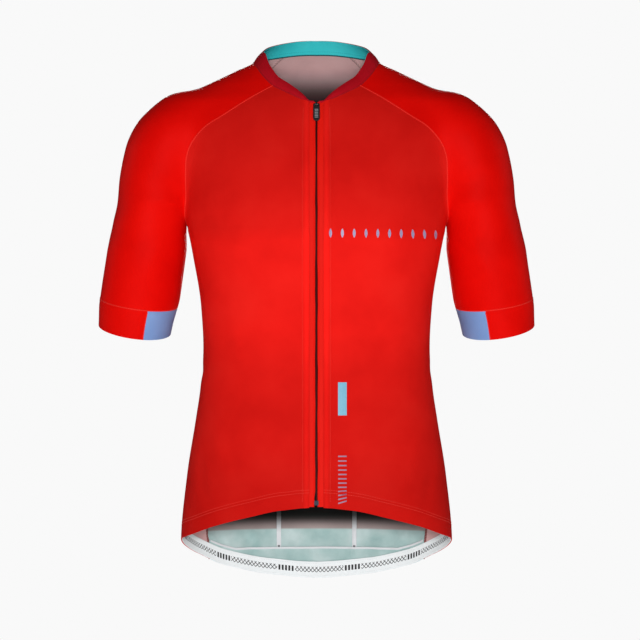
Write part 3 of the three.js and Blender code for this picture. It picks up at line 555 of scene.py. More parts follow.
def thread(name, dark, light, pitch):
    """Bulky sewing thread: its plies show as slanting light and dark bands along the seam."""
    material, tree, surface = finish_of(name, Roughness=0.6, Specular_IOR_Level=0.12)
    around, along = cloth_place(tree)
    slant = sums(tree, "MULTIPLY_ADD", around, 0.8, along)
    band = sums(tree, "PINGPONG", sums(tree, "DIVIDE", slant, pitch), 1.0)
    dressed(tree, surface, ramp(tree, band, [(0.1, dark), (0.7, light)]), band, 0.00015, 0.7)
    return material


def grained(name, scale, detail, shades, strength, **shader):
    """An even material with a fine grain: a noise between two shades, which is its relief too."""
    material, tree, surface = finish_of(name, **shader)
    place = node(tree, "ShaderNodeTexCoord").outputs["Object"]
    noise = node(tree, "ShaderNodeTexNoise", {"Vector": place, "Scale": scale, "Detail": detail})
    grain = noise.outputs["Fac"]
    dressed(tree, surface, ramp(tree, grain, shades), grain, 0.0001, strength)
    return material


def filament(name, dark, light):
    """Smooth thread in short stitches: fine streaks of two shades."""
    return grained(name, 2500.0, 2.0, [(0.35, dark), (0.6, light)], 0.0, Roughness=0.5,
                   Specular_IOR_Level=0.2)


# Filament polyester in the cloth's red, a little lighter where it is raised.
red_stitch = filament("polyester filament thread, red", "#D63A30", "#F4483C")

CLOTH = 1.2  # thickness of a knitted panel
HEM = 22  # depth of the turned hem
HALF_GAP = 0.15  # half the clear space at a seam
SIDE_COLUMN = 11  # the front column that reaches the hem at the side of the body
FOLD_AT, FOLD_HALF, FOLD_RISE = 12.6, 4.2, 1.5  # the folded edge beside the zip

SIDES = {"left": 1, "right": -1}  # the wearer's left is at +X
PAINTED_FOLD_HIGHLIGHT = (1.22, 1.22, 1.22, 1)  # painted highlight: how much lighter the red is made along the folded edges, where their roll catches the light


def dye_of(material):
    """A material's node tree and shader, and the socket that its colour comes from."""
    tree = material.node_tree
    surface = tree.nodes["Principled BSDF"]
    return tree, surface, surface.inputs["Base Color"].links[0].from_socket


# Painted highlight: the red is made lighter along the folded edges beside the zip, where their roll
# catches the light.
tree, surface, dyed = dye_of(body_red)
place = node(tree, "ShaderNodeTexCoord").outputs["Object"]
aside = sums(tree, "ABSOLUTE", node(tree, "ShaderNodeSeparateXYZ", {"Vector": place}).outputs["X"])
off_fold = sums(tree, "ABSOLUTE", sums(tree, "SUBTRACT", aside, FOLD_AT / 1000))
fold = node(tree, "ShaderNodeMapRange", {"Value": off_fold, 1: 1.5 * FOLD_HALF / 1000, 2: 0.0},
            interpolation_type="SMOOTHSTEP").outputs[0]
dressed(tree, surface, node(tree, "ShaderNodeMix", {0: fold, 6: dyed, 7: PAINTED_FOLD_HIGHLIGHT}, data_type="RGBA",
                            blend_type="MULTIPLY", clamp_result=True).outputs[2])

# Front columns are counted as on the solid: 0 at the zip, 4 at the raglan seam, 15 at the side.
SIDE_ANGLE = 118  # degrees round the trunk, where the fronts and the back meet at the hem
front_hem_angle = smooth_table([(1, 8.4), (4, 36), (SIDE_COLUMN, 90), (15, SIDE_ANGLE)])
FRONT_COLUMNS = np.concatenate([
    np.linspace(0, 1, 6), np.linspace(1, 4, 16)[1:], np.linspace(4, 15, 78)[1:]])
PANEL_ROWS = np.linspace(0, 1, 161)[:, None]


def panel(tops, hem_angle, way, straight=0.0):
    """Columns from the points of a top seam down to the hem, at shares `way` of their height. The
    angle round the trunk changes evenly on the way; a straight column keeps its distance from
    the middle. Where the form is off the seam, the difference dies away over 8 mm."""
    bottom = np.radians(hem_angle)
    height = tops[:, 2] + (hem_at(hem_angle)[0] - tops[:, 2]) * way
    angle = angle_of(tops) + (bottom - angle_of(tops)) * way
    p = settle(trunk_point(angle, height), trunk_cloth)
    x = p[..., 0] + (tops[:, 0] - p[..., 0]) * straight
    p = settle(np.stack([x, p[..., 1], height], axis=-1), trunk_cloth)
    off_seam = (way[0] == 0)[..., None] * (tops - p[0])
    return p + off_seam * np.exp(-np.linalg.norm(p - p[0], axis=2) / 8)[..., None]


def drawn_in(grid, out, top=0.0, bottom=0.0, start=0.0, end=0.0):
    """The named edges of a grid drawn back from their seams, square to the seam."""
    grid, hand = grid.copy(), hand_of(grid, out)
    whole = slice(None)
    for edge, amount in ((0, top), (-1, -bottom), ((whole, 0), -start), ((whole, -1), end)):
        if amount:
            grid[edge] += hand * amount * unit(np.cross(np.gradient(grid[edge], axis=0), out[edge]))
    return grid


def above_hem(p):
    """Height above the hem, straight down."""
    return p[..., 2] - hem_at(degrees_round(p))[0]


def front_lift(p):
    """How far the front stands out of the form: its creases, the roll along the folded edge, which
    swells and thins on its way down, the hem's second layer under a groove of stitches, and the
    hem's soft waves, which stop short of the side."""
    aside, down, above = np.abs(p[..., 0]), p[..., 2], above_hem(p)
    uneven = 1 + 0.22 * np.sin(down / 31 + np.sign(p[..., 0])) + 0.14 * np.sin(down / 12.3)
    roll = FOLD_RISE * uneven * bell(aside - FOLD_AT, FOLD_HALF)
    hem = 0.5 * ease((HEM + 1 - above) / 2.5) - 0.6 * bell(above - HEM + 1.2, 1.8)
    waves = np.exp(-above / 18) * (0.9 * np.sin(p[..., 0] / 21 + 0.6) + 0.5 * np.sin(p[..., 0] / 9.1))
    ahead = ease((88 - degrees_round(p)) / 16)
    return creases(p) + roll + ahead * (hem + waves * ease((aside - 20) / 30))


def lay_on(p, lift, raised=0.0, field=trunk_cloth):
    """Points of the form moved out to the face of the cloth, and the outward directions."""
    out = unit(slope(field, p))
    return p + out * (lift(p) + raised)[..., None], out


def mirrored(p, side=-1):
    """Points on the side of +X, or their mirror images."""
    return p * np.array([side, 1, 1])


neck_front = settle(through(NECK, FRONT_COLUMNS[FRONT_COLUMNS <= 4]), trunk_field)
front_seam = raglan(FRONT_RAGLAN, (FRONT_COLUMNS[FRONT_COLUMNS > 4] - 4) / SEAM_STEPS)
front_tops = np.vstack([neck_front, front_seam])
straight_down = np.degrees(np.arctan2(front_tops[:, 0], trunk_at(hem_at(0.0)[0])[1]))
front_hem_angles = np.where(FRONT_COLUMNS < 1, straight_down, front_hem_angle(FRONT_COLUMNS)[0])
beside_zip = np.clip(2 - FRONT_COLUMNS, 0, 1)
front_form = panel(front_tops, front_hem_angles, PANEL_ROWS, beside_zip)
front_drop = front_tops[:, 2] - hem_at(front_hem_angles)[0]

# Behind its stitches the hem is double, apart from the sides, where the elastic lies instead.
hem_layer = 0.8 * ease((HEM - above_hem(front_form)) / 2) * ease(SIDE_COLUMN - 0.4 - FRONT_COLUMNS)

# Rows of a twin needle along the hem, and one row down the folded edge.
NEEDLE_ROWS = np.array([[19.0], [22.5]])  # their heights above the hem
EDGE_ROW = 17.2  # its distance from the middle
needle_form = panel(front_tops, front_hem_angles, 1 - NEEDLE_ROWS / front_drop, beside_zip)
ON_CLOTH = 0.05  # how far a row of stitches stands off the cloth

for hand, side in SIDES.items():
    face, out = lay_on(mirrored(front_form, side), front_lift)
    face = drawn_in(face, out, top=HALF_GAP, end=HALF_GAP)
    piece = shell(f"front_{hand}", face, out, CLOTH + hem_layer, [body_red, pink_reverse])
    line, up = lay_on(mirrored(needle_form, side), front_lift, ON_CLOTH)
    down_edge = np.linspace((EDGE_ROW * side, -90, -62), (EDGE_ROW * side, -90, -566), 190)
    edge, edge_up = lay_on(settle(down_edge, trunk_field), front_lift)
    stitches(f"front_{hand}.hem_stitches", zip(line, up), 3.1, (2.5, 0.55, 0.45),
                 red_stitch)
    stitches(f"front_{hand}.edge_stitches", [(edge, edge_up)], 3.0, (2.3, 0.4, 0.35),
                 red_stitch)

# ---------------------------------------------------------------- Back panel
# One piece of the same knit from seam to seam, cut longer than the fronts so that it covers the
# small of the back on a bent rider. Its lower part is dyed turquoise, which shows inside as a
# pale mint.

BAND_TOP = -0.6155  # height in metres where the turquoise starts
BACK_REVERSE_PAINTED_SHADE = [  # painted shade: the reverse darkens to near black from below the neck down to the band, where the inside of the back lies in shadow, then lightens into the mint: height in metres, tone
    (-0.0009, "#FFFFFF"), (-0.0062, "#F5F5F8"), (-0.0115, "#DDE3E5"), (-0.0169, "#BEC8C9"),
    (-0.0222, "#9FA2A5"), (-0.0276, "#777D7D"), (-0.0329, "#5D5D5D"), (-0.0369, "#524C4F"),
    (-0.045, "#2C2C2C"), (-0.5937, "#212C2B"), (-0.5978, "#273836"), (-0.6018, "#4B5958"),
    (-0.6058, "#7E9392"), (-0.6098, "#AAC4C2"), (-0.6139, "#BDDAD8"),
]


def banded(name, shades, band_shades, **shader):
    """A knit that is dyed two colours, which meet in a level line at the top of the band."""
    material = knit(name, shades, WALE, COURSE, LOOP, **shader)
    tree, surface, upper = dye_of(material)
    place = node(tree, "ShaderNodeTexCoord").outputs["Object"]
    height = node(tree, "ShaderNodeSeparateXYZ", {"Vector": place}).outputs["Z"]
    clouds = node(tree, "ShaderNodeTexNoise", {"Vector": place, "Scale": 30.0, "Detail": 3.0})
    lower = ramp(tree, clouds.outputs["Fac"], list(zip((0.3, 0.5, 0.7), band_shades)))
    share = node(tree, "ShaderNodeMapRange",
                 {"Value": height, 1: BAND_TOP + 0.001, 2: BAND_TOP - 0.001}).outputs[0]
    dressed(tree, surface,
            node(tree, "ShaderNodeMix", {0: share, 6: upper, 7: lower}, data_type="RGBA").outputs[2])
    return material


# The same warp knit with its band and the painted shade by height, and its reverse, where both colours
# are washed out and painted shade darkens the inside.
back_face = banded("warp knit polyester, red and turquoise", BODY_RED,
                   ("#22A3A9", "#2EB3B9", "#3BC0C4"), **DULL_AND_PAINTED_SHADE)
back_reverse = banded("warp knit polyester, pink and mint reverse", BODY_PINK,
                      ("#96B4B2", "#A8C1BF", "#BCCFCE"), tone=BACK_REVERSE_PAINTED_SHADE, **CHALKY)

BACK_COLUMNS = np.concatenate([np.linspace(0, 11, 80), np.linspace(11, 15, 22)[1:]])
back_seam = raglan(BACK_RAGLAN, 1 - BACK_COLUMNS[BACK_COLUMNS <= 11] / 11)
neck_shares = (BACK_COLUMNS[BACK_COLUMNS > 11] - 11) / 4
neck_back = settle(evenly(NECK, BACK_RAGLAN_KNOT, len(NECK) - 1, neck_shares), trunk_field)
back_tops = np.vstack([back_seam, neck_back])
back_hem_angles = SIDE_ANGLE + (180 - SIDE_ANGLE) * BACK_COLUMNS / 15
back_drop = back_tops[:, 2] - hem_at(back_hem_angles)[0]


def both_halves(half):
    """A half made whole: its columns, then their mirror images from the middle out."""
    return np.concatenate([half, mirrored(half)[:, -2::-1]], axis=1)


def back_rows(way):
    """Rows over the whole back, at shares `way` of its height."""
    return both_halves(panel(back_tops, back_hem_angles, way))


POCKET_SEAM = -641  # height of the seam under the pockets
DIVISION = 51  # distance of each pocket division from the middle


def back_lift(p):
    """How far the back stands out of the form: its creases, a slight pull along the pocket
    divisions and the seam under them, and short upright ripples on both sides of that seam."""
    aside, above = p[..., 0], above_hem(p)
    over_seam = p[..., 2] - POCKET_SEAM
    level = over_seam / (hem_at(degrees_round(p))[1] - POCKET_SEAM)
    pull = bell(np.abs(aside) - DIVISION, 3.5) * ease(8 * level + 1) * ease(8 * (1 - level))
    seam = bell(over_seam, 3) * ease((above - HEM) / 4)
    near_seam = bell(over_seam + 10, 9) + bell(over_seam - 14, 10)
    ripples = 0.8 * np.sin(aside / 5.3 + 1) + 0.8 * np.sin(aside / 9.7) + 0.4 * np.sin(aside / 3.1)
    return creases(p) - 0.5 * pull - 0.4 * seam + near_seam * ripples * ease((above - HEM) / 10)


back_cut, out = lay_on(back_rows(PANEL_ROWS), back_lift)
back_cut = drawn_in(back_cut, out, top=HALF_GAP, start=HALF_GAP, end=HALF_GAP)
back = shell("back", back_cut, out, CLOTH, [back_face, back_reverse])

# ---------------------------------------------------------------- Sleeves
# Raglan sleeves in one piece each, from a smoother knit with more elastane, which shines like
# satin where it is stretched over the shoulder. Each is closed by a seam under the arm.

SATIN = {"Roughness": 0.48, "Specular_IOR_Level": 0.02}
FINE_WALE, FINE_COURSE, FINE_LOOP = 0.0009, 0.0011, 0.0001
sleeve_red = knit("elastane interlock, satin red", ("#D40703", "#E20A05", "#EC0F08"),
                  FINE_WALE, FINE_COURSE, FINE_LOOP, **SATIN)

SHOULDER_LINE = [
    NECK[7], (108, 0, -13), (149, 0, -33), (191, 0, -47), (218, 0, -65), (240, 0, -96),
    (252, 0, -134), (255.5, 1, -165),
]
# Rings of the sleeve below the armpit.
RINGS = np.array([  # height inside the arm, height outside it, how much lower the front is
    (-212, -165, 0), (-235, -194, 2), (-257, -223, 4), (-279, -251, 6), (-300, -279, 8),
    (-319, -305, 10), (-354.5, -340.5, 12),
])
CUFF_TOP, CUFF_END = 5, 6  # the rings where the cuff starts and ends
ROUND = np.linspace(0, 1, 121)  # shares of the way round the arm


def ovals(front, outside, back, depth, drop):
    """Rows round the arm, each part of an oval from its front edge over its outside to its back
    edge: centre + outwards cos(turn) + sideways sin(turn). An oval that has closed is a ring."""
    half, middle = (back - front) / 2, (back + front) / 2
    wide = np.linalg.norm(half, axis=1)
    reach = np.maximum(depth, wide)
    far = np.pi - np.arcsin(wide / reach)
    closing = np.cos(far)[:, None]
    centre = (middle - outside * closing) / (1 - closing)
    ring = np.stack([0 * reach, reach, drop + 0 * reach], axis=1)
    sideways = np.where(wide[:, None] < 1, ring, unit(half) * reach[:, None])[:, None]
    turn = (far[:, None] * (2 * ROUND - 1))[..., None]
    return centre[:, None] + (outside - centre)[:, None] * np.cos(turn) + sideways * np.sin(turn)


def arm_rings(count, first, last):
    """Closed rings of the sleeve, at even steps from one of the listed rings to another."""
    at = np.linspace(first, last, count)
    inner, outer, drop = (np.interp(at, np.arange(len(RINGS)), column) for column in RINGS.T)
    middle, half, ahead, depth, _ = arm_at(inner)
    under = np.stack([middle - half, ahead, inner], axis=1)
    middle, half, ahead, _, _ = arm_at(outer)
    over = np.stack([middle + half, ahead, outer], axis=1)
    return settle(ovals(under, over, under, depth, drop), arm_cloth)


shares = np.linspace(0, 1, 84)
front_edge, back_edge = raglan(FRONT_RAGLAN, shares), raglan(BACK_RAGLAN, shares)
shoulder = settle(evenly(SHOULDER_LINE, 0, 7, shares), joined_field)
upper = ovals(front_edge, shoulder, back_edge, arm_at(RINGS[0, 0])[3], 0)
# The first rows turn from the neck's own curve, carried down between the seams, into the ovals.
neck_over = settle(evenly(NECK, FRONT_RAGLAN_KNOT, BACK_RAGLAN_KNOT, ROUND), trunk_field)
front_way, back_way = (front_edge - neck_over[0])[:, None], (back_edge - neck_over[-1])[:, None]
neck_like = neck_over + (1 - ROUND)[:, None] * front_way + ROUND[:, None] * back_way
upper = settle(neck_like + ease(shares * SEAM_STEPS)[:, None, None] * (upper - neck_like), arm_cloth)
for at_edge, seam in ((0, front_edge), (-1, back_edge)):  # the rest dies away over 6 mm
    away = np.linalg.norm(upper - upper[:, [at_edge]], axis=2)
    upper = upper + (seam - upper[:, at_edge])[:, None] * np.exp(-away / 6)[..., None]
upper[0] = neck_over
sleeve_form = np.concatenate([upper, arm_rings(38, 0, CUFF_TOP)[1:]])
UNDERARM = len(shares) - 1  # the row from which the sleeve is a closed ring

for hand, side in SIDES.items():
    face, out = lay_on(mirrored(sleeve_form, side), creases, field=arm_cloth)
    closed = face[UNDERARM:, 0].copy()
    face = drawn_in(face, out, top=HALF_GAP, bottom=HALF_GAP, start=HALF_GAP, end=HALF_GAP)
    face[UNDERARM:, 0] = face[UNDERARM:, -1] = closed
    piece = shell(f"sleeve_{hand}", face, out, CLOTH, [sleeve_red, pink_reverse],
                  sewn_from=UNDERARM)

# ---------------------------------------------------------------- Cuffs
# A 36 mm band on each sleeve, of the sleeve's own knit over the outside of the arm and of
# periwinkle blue on the inside. It is folded double and sewn on, so it stands slightly proud,
# with the seam allowance showing through as a 5 mm step along its top.

# The same interlock in blue.
cuff_blue = knit("elastane interlock, satin periwinkle", ("#6E92C8", "#7C9FD6", "#8CAEDF"),
                 FINE_WALE, FINE_COURSE, FINE_LOOP, **SATIN)
CUFF_DEPTH, CUFF_ROWS = 36, 19
cuff_form = arm_rings(CUFF_ROWS, CUFF_TOP, CUFF_END)
INSET = 24  # columns of the blue section on each side of the underarm, of the 120 round the arm
below_top = np.linspace(0, CUFF_DEPTH, CUFF_ROWS)[:, None]
cuff_relief = 0.4 * ease(below_top / 1.5) - 0.3 * bell(below_top - 5.5, 1.2)

for hand, side in SIDES.items():
    ring = mirrored(cuff_form, side)
    blue = np.concatenate([ring[:, -1 - INSET:], ring[:, 1:INSET + 1]], axis=1)
    for name, form, finish, slot in (
            (f"cuff_{hand}", ring[:, INSET:-INSET], sleeve_red, "sleeve_knit"),
            (f"cuff_{hand}_inset", blue, cuff_blue, "cuff_blue")):
        face, out = lay_on(form, creases, cuff_relief, arm_cloth)
        face = drawn_in(face, out, top=HALF_GAP, start=HALF_GAP, end=HALF_GAP)
        shell(name, face, out, CLOTH, [finish])

# ---------------------------------------------------------------- Seams
# The panels are joined by flat overlocked seams, pressed and covered with a bulky red thread,
# which stand out as thin light ridges. Inside, each seam's allowance is a soft overlocked cord.

seam_red = thread("bulky polyester seam thread, red", "#D8170F", "#F02C22", 0.0014)
inside_thread = thread("bulky polyester overlock thread, dusty red", "#6E3F3E", "#96605E", 0.0018)
pink_thread = thread("bulky polyester overlock thread, pink", "#A88281", "#C49D9C", 0.0018)
OUTSIDE, INSIDE = half_round(0.8, 0.4), half_round(1.9, 0.7)

SEAMS = {  # line on the form, the form that it lies on, how far it is raised, thread inside
    "raglan_seam_front": (front_edge, joined_field, 0, pink_thread),
    "raglan_seam_back": (back_edge, joined_field, 0, pink_thread),
    "side_seam": (front_form[2:, -1], trunk_field, 0, inside_thread),
    "underarm_seam": (sleeve_form[UNDERARM + 1:, 0], arm_field, 0, pink_thread),
    "cuff_seam": (sleeve_form[-1], arm_cloth, 0, pink_thread),
    "cuff_inset_seam_front": (cuff_form[1:, INSET], arm_cloth, 0.2, None),
    "cuff_inset_seam_back": (cuff_form[1:, -1 - INSET], arm_cloth, 0.2, None),
}
for hand, side in SIDES.items():
    for name, (line, field, raised, inner_thread) in SEAMS.items():
        face, out = lay_on(mirrored(line, side), creases, raised, field)
        sweep(f"{name}_{hand}", face, out, OUTSIDE, seam_red)
        if inner_thread:
            sweep(f"{name}_{hand}.inside", face - out * CLOTH, -out, INSIDE, inner_thread)

# ---------------------------------------------------------------- Collar
# A low stand collar, cut in two layers and folded at the top: crimson outside, and turquoise
# inside, where it shows at the back of the neck.

LAYER_GAP = 0.3  # clear space between layers
TRIM = 1.0  # thickness of collar layers, tapes and elastic
BEHIND = -CLOTH - LAYER_GAP  # where a layer behind the cloth has its face
TO_ZIP = 5  # points of the neckline beyond the fronts' edges, over the zip tapes
collar_crimson = knit("warp knit polyester, crimson", ("#A60A16", "#B80F1E", "#C61526"),
                      WALE, COURSE, LOOP, **CHALKY)
collar_turquoise = knit("warp knit polyester, turquoise", ("#2FBFC5", "#3ACFD5", "#4ADBDF"),
                        WALE, COURSE, LOOP, **CHALKY)
# How far the top edge rises and leans in.
collar_at = smooth_table([  # share of the way from the zip to the middle of the back, rise, lean
    (0, 1.6, 3), (0.03, 6, 4), (0.08, 10, 5.5), (0.13, 12, 7.2), (0.2, 13.6, 8.6), (0.3, 14.8, 10),
    (0.42, 16, 12.5), (0.52, 13.8, 11.8), (0.75, 17, 9), (1, 18.4, 5),
])
neck = evenly(NECK, 0, len(NECK) - 1, np.linspace(0, 1, 150))
over_tape = np.linspace((2.9, -76.9, -59.0), neck[0], TO_ZIP + 1)[:-1]
neck = settle(np.vstack([over_tape, neck]), trunk_field)
along_neck = np.gradient(neck, axis=0)
inward = unit(np.stack([-along_neck[:, 1], along_neck[:, 0], 0 * neck[:, 0]], axis=1))
inward[-1] = (0, -1, 0)
run = lengths(neck)
rise, lean = collar_at((run - run[TO_ZIP]) / (run[-1] - run[TO_ZIP]))
crest = neck + inward * lean[:, None] + np.array([0, 0, 1]) * rise[:, None]
collar_out = unit(np.cross(along_neck, crest - neck))
collar_out = collar_out * -np.sign((collar_out * inward).sum(1, keepdims=True))
collar_out[-1, 0] = 0
collar_out = unit(collar_out)
down_collar = np.linspace(0, 1, 9)[:, None, None]
bow = 1.1 * np.sin(np.pi * down_collar)  # the stand is slightly full
collar_form = both_halves(crest + (neck - crest) * down_collar + bow * collar_out)
collar_out = both_halves(np.repeat(collar_out[None], len(down_collar), axis=0))
collar_form = drawn_in(collar_form, collar_out, bottom=HALF_GAP)
outer = shell("collar_outer", collar_form, collar_out, TRIM, [collar_crimson])
lining_out = collar_out[:, TO_ZIP:-TO_ZIP]
lining_form = collar_form[:, TO_ZIP:-TO_ZIP] - (TRIM + LAYER_GAP) * lining_out
lining = shell("collar_lining", lining_form, lining_out, TRIM, [collar_turquoise])

# The neck seam outside, and the lining's stitched lower edge inside.
teal_thread = thread("bulky polyester overlock thread, teal", "#12484C", "#1F6F73", 0.0018)
neck_line = np.concatenate([neck[TO_ZIP:], mirrored(neck)[-2:TO_ZIP - 1:-1]])
on_neck, neck_up = lay_on(neck_line, creases, field=trunk_field)
crimson_thread = thread("bulky polyester seam thread, crimson", "#9C0913", "#B3121D", 0.0014)
neck_seam = sweep("neck_seam", on_neck, neck_up, OUTSIDE, crimson_thread)
foot = lining_form[-1] - lining_out[-1] * TRIM
neck_cord = sweep("neck_seam_inside", foot, -lining_out[-1], half_round(0.8, 0.5), teal_thread)
teal_stitch = filament("polyester filament thread, teal", "#1C8287", "#27999E")
lining_row = lining_form[6] - lining_out[6] * (TRIM + 0.1), -lining_out[6]
lining_stitches = stitches("collar_lining.stitches", [lining_row], 3.0, (2.2, 0.4, 0.35),
                           teal_stitch)

# ---------------------------------------------------------------- Elastic in the back hem
# A 22 mm woven elastic round the back and the sides, sewn in flush with the edge. It is white,
# and a black grip pattern is printed along it: lengths of lattice, and blocks in fives.

GRIP_TOP, GRIP_BOTTOM = -0.0072, -0.0145  # the printed strip, down from the top of the band
REPEAT, BLOCKS = 0.090, 0.0225  # the pattern's repeat, and the part that holds the blocks
BLOCK = BLOCKS / 5
CELL = 0.0052  # the lattice's mesh
SHIFT = 40.5 * REPEAT + BLOCKS / 2 + 0.0035  # sets blocks near the middle, all places positive


def woven(name, rib, warp, **shader):
    """The start of a woven material: itself, its tree and shader, and the height of its weave,
    with ribs across it and threads along it, at spacings in metres."""
    material, tree, surface = finish_of(name, **shader)
    across, down = cloth_place(tree)
    weave = sums(tree, "PINGPONG", sums(tree, "DIVIDE", down, rib), 0.5)
    if warp:
        threads = sums(tree, "PINGPONG", sums(tree, "DIVIDE", across, warp), 0.5)
        weave = sums(tree, "ADD", weave, threads)
    return material, tree, surface, weave


hem_elastic, tree, surface, weave = woven("woven elastic, white with black print",
                                          0.0012, 0.0016, Roughness=0.75)
across, down = cloth_place(tree)
in_repeat = sums(tree, "MODULO", sums(tree, "ADD", across, SHIFT), REPEAT)
in_blocks = sums(tree, "LESS_THAN", in_repeat, BLOCKS)
in_block = sums(tree, "SUBTRACT", sums(tree, "MODULO", in_repeat, BLOCK), BLOCK / 2)
block = sums(tree, "LESS_THAN", sums(tree, "ABSOLUTE", in_block), 0.3 * BLOCK)
onward = sums(tree, "ADD", across, 8.0)  # positive all along the band
leans = [sums(tree, "PINGPONG", sums(tree, "MULTIPLY_ADD", down, way, onward), CELL / 2)
         for way in (0.9, -0.9)]
lattice = sums(tree, "LESS_THAN", sums(tree, "MINIMUM", *leans), 0.115 * CELL)
from_middle = sums(tree, "ABSOLUTE", sums(tree, "SUBTRACT", in_repeat, (REPEAT + BLOCKS) / 2))
clear = sums(tree, "GREATER_THAN", from_middle, (REPEAT - BLOCKS) / 2 - 0.001)
lattice = sums(tree, "MULTIPLY", lattice, sums(tree, "SUBTRACT", 1.0, clear))
mark = node(tree, "ShaderNodeMix", {0: in_blocks, 2: lattice, 3: block}).outputs[0]
in_strip = sums(tree, "COMPARE", down, (GRIP_TOP + GRIP_BOTTOM) / 2, (GRIP_TOP - GRIP_BOTTOM) / 2)
printed = sums(tree, "MULTIPLY", mark, in_strip)
white = ramp(tree, weave, [(0.0, "#D9E0E2"), (0.6, "#EEF3F4")])
inked = node(tree, "ShaderNodeMix", {0: printed, 6: white, 7: colour("#232427")}, data_type="RGBA")
dressed(tree, surface, inked.outputs[2], weave, 0.0003, 0.5)

band_steps = np.linspace(HEM, 0, 9)[:, None]
of_side = FRONT_COLUMNS >= SIDE_COLUMN
side_way = 1 - band_steps / front_drop[of_side]
side_of_hem = panel(front_tops[of_side], front_hem_angles[of_side], side_way)
back_of_hem = back_rows(1 - band_steps / back_drop)
band_form = np.concatenate([side_of_hem, back_of_hem[:, 1:], mirrored(side_of_hem)[:, -2::-1]], axis=1)
band_face, band_out = lay_on(band_form, creases, BEHIND)
gripper = shell("hem_gripper", band_face, band_out, TRIM, [hem_elastic])
# A row of stitches near each edge of the elastic, which also shows outside on the back hem.
white_stitch = filament("polyester filament thread, white", "#C9CFD1", "#E9EEEF")
inner_rows = [(band_face[row] - band_out[row] * (TRIM + ON_CLOTH), -band_out[row]) for row in (1, 7)]
gripper_stitches = stitches("hem_gripper.stitches", inner_rows, 3.2, (2.4, 0.5, 0.4),
                            white_stitch)
turquoise_stitch = filament("polyester filament thread, turquoise", "#1E989E", "#3CC4C8")
hem_rows = lay_on(back_rows(1 - np.array([[19.0], [2.6]]) / back_drop), back_lift, ON_CLOTH)
back_trims = [stitches("back.hem_stitches", zip(*hem_rows), 3.2, (2.5, 0.5, 0.4),
                       turquoise_stitch)]

# ---------------------------------------------------------------- Pockets
# One panel of the body's knit over the small of the back, sewn down at the sides, along its
# bottom and in two upright lines, which make three pockets. Their tops are bound with a soft
# elastic and gape a little. Inside the back, white tapes cover the stitched lines.

back_pocket_top = hem_at(back_hem_angles)[1]
back_pocket_seam = np.maximum(POCKET_SEAM, hem_at(back_hem_angles)[0] + HEM + 4)
pocket_rows = np.linspace(0, 1, 66)[:, None]
pocket_heights = back_pocket_top + (back_pocket_seam - back_pocket_top) * pocket_rows
pocket_form = back_rows((back_tops[:, 2] - pocket_heights) / back_drop)
POCKET_LIFT = 0.5 + CLOTH  # the pocket's face over the back's
BINDING = 9  # height of the bound top
aside, run = pocket_form[..., 0], run_over(pocket_form, 1)
from_end = np.minimum(run, run[:, [-1]] - run)
from_line = np.minimum(np.abs(np.abs(aside) - DIVISION), from_end)
fullness = ease(from_line / 26) * np.sin(np.pi * np.clip(pocket_rows * 1.02, 0, 1)) ** 0.6
gape = ease(from_line / 22) * np.exp(-pocket_rows / 0.13) * (3.0 + 0.6 * np.sin(aside / 17))
folds = 0.35 * np.sin(aside / 6.1 + 2 * pocket_rows) * bell(pocket_rows - 0.97, 0.1)
strain = 0.5 * np.sin(aside / 8.3 - 9 * pocket_rows) * bell(from_line - 10, 8) * (1 - pocket_rows)
below_top = (back_pocket_top - back_pocket_seam) * pocket_rows
below_top = np.concatenate([below_top, below_top[:, -2::-1]], axis=1)
binding = 0.5 * ease((BINDING + 0.6 - below_top) / 1.2) - 0.35 * bell(below_top - BINDING, 1.1)
bulk = 1.6 * fullness + gape + folds * ease(from_line / 6) + strain + binding

pocket_out = unit(slope(trunk_cloth, pocket_form))
lift = back_lift(pocket_form) * 0.5 + creases(pocket_form) * 0.5 + POCKET_LIFT + bulk
within = np.flatnonzero(from_end.min(0) >= 2.6)  # clear of the side seams
pocket_cut = (pocket_form + pocket_out * lift[..., None])[:, within]
pocket_out = pocket_out[:, within]
pocket = shell("pocket_panel", pocket_cut, pocket_out, CLOTH, [back_face, back_reverse])


def pocket_line(aside):
    """The line of the pocket's face at one distance from the middle, row by row."""
    x = pocket_cut[..., 0]
    at = [np.interp(-aside, -x[row], np.arange(x.shape[1])) for row in range(len(x))]
    whole = np.clip(np.floor(at).astype(int), 0, x.shape[1] - 2)
    share = (np.array(at) - whole)[:, None]
    rows = np.arange(len(x))
    return [grid[rows, whole] * (1 - share) + grid[rows, whole + 1] * share
            for grid in (pocket_cut, pocket_out)]


# Rows of stitches along the binding, the bottom and the sides, and a pair along each division.
binding_row = int(np.abs(below_top[:, 40] - BINDING + 1.6).argmin())
sewn = [(pocket_cut[binding_row] + ON_CLOTH * pocket_out[binding_row], pocket_out[binding_row]),
        (pocket_cut[-2], pocket_out[-2])]
for edge in (0, -1):
    sewn.append((pocket_cut[:, edge] + ON_CLOTH * pocket_out[:, edge], pocket_out[:, edge]))
tacks, tack = [], np.linspace(-2.6, 2.6, 6)[:, None] * (1, 0, 0)
for middle in (-DIVISION, DIVISION):
    sewn += [pocket_line(middle - 1.5), pocket_line(middle + 1.5)]
    line, up = pocket_line(middle)
    for row in (1, binding_row + 1):
        tacks.append((line[row] + tack, np.repeat(up[row][None], len(tack), axis=0)))
pocket_stitches = stitches("pocket_panel.stitches", sewn, 3.0, (2.4, 0.45, 0.5),
                           red_stitch)
red_tacks = stitches("pocket_panel.bar_tacks", tacks, 0.62, (0.55, 3.2, 1.2), red_stitch)

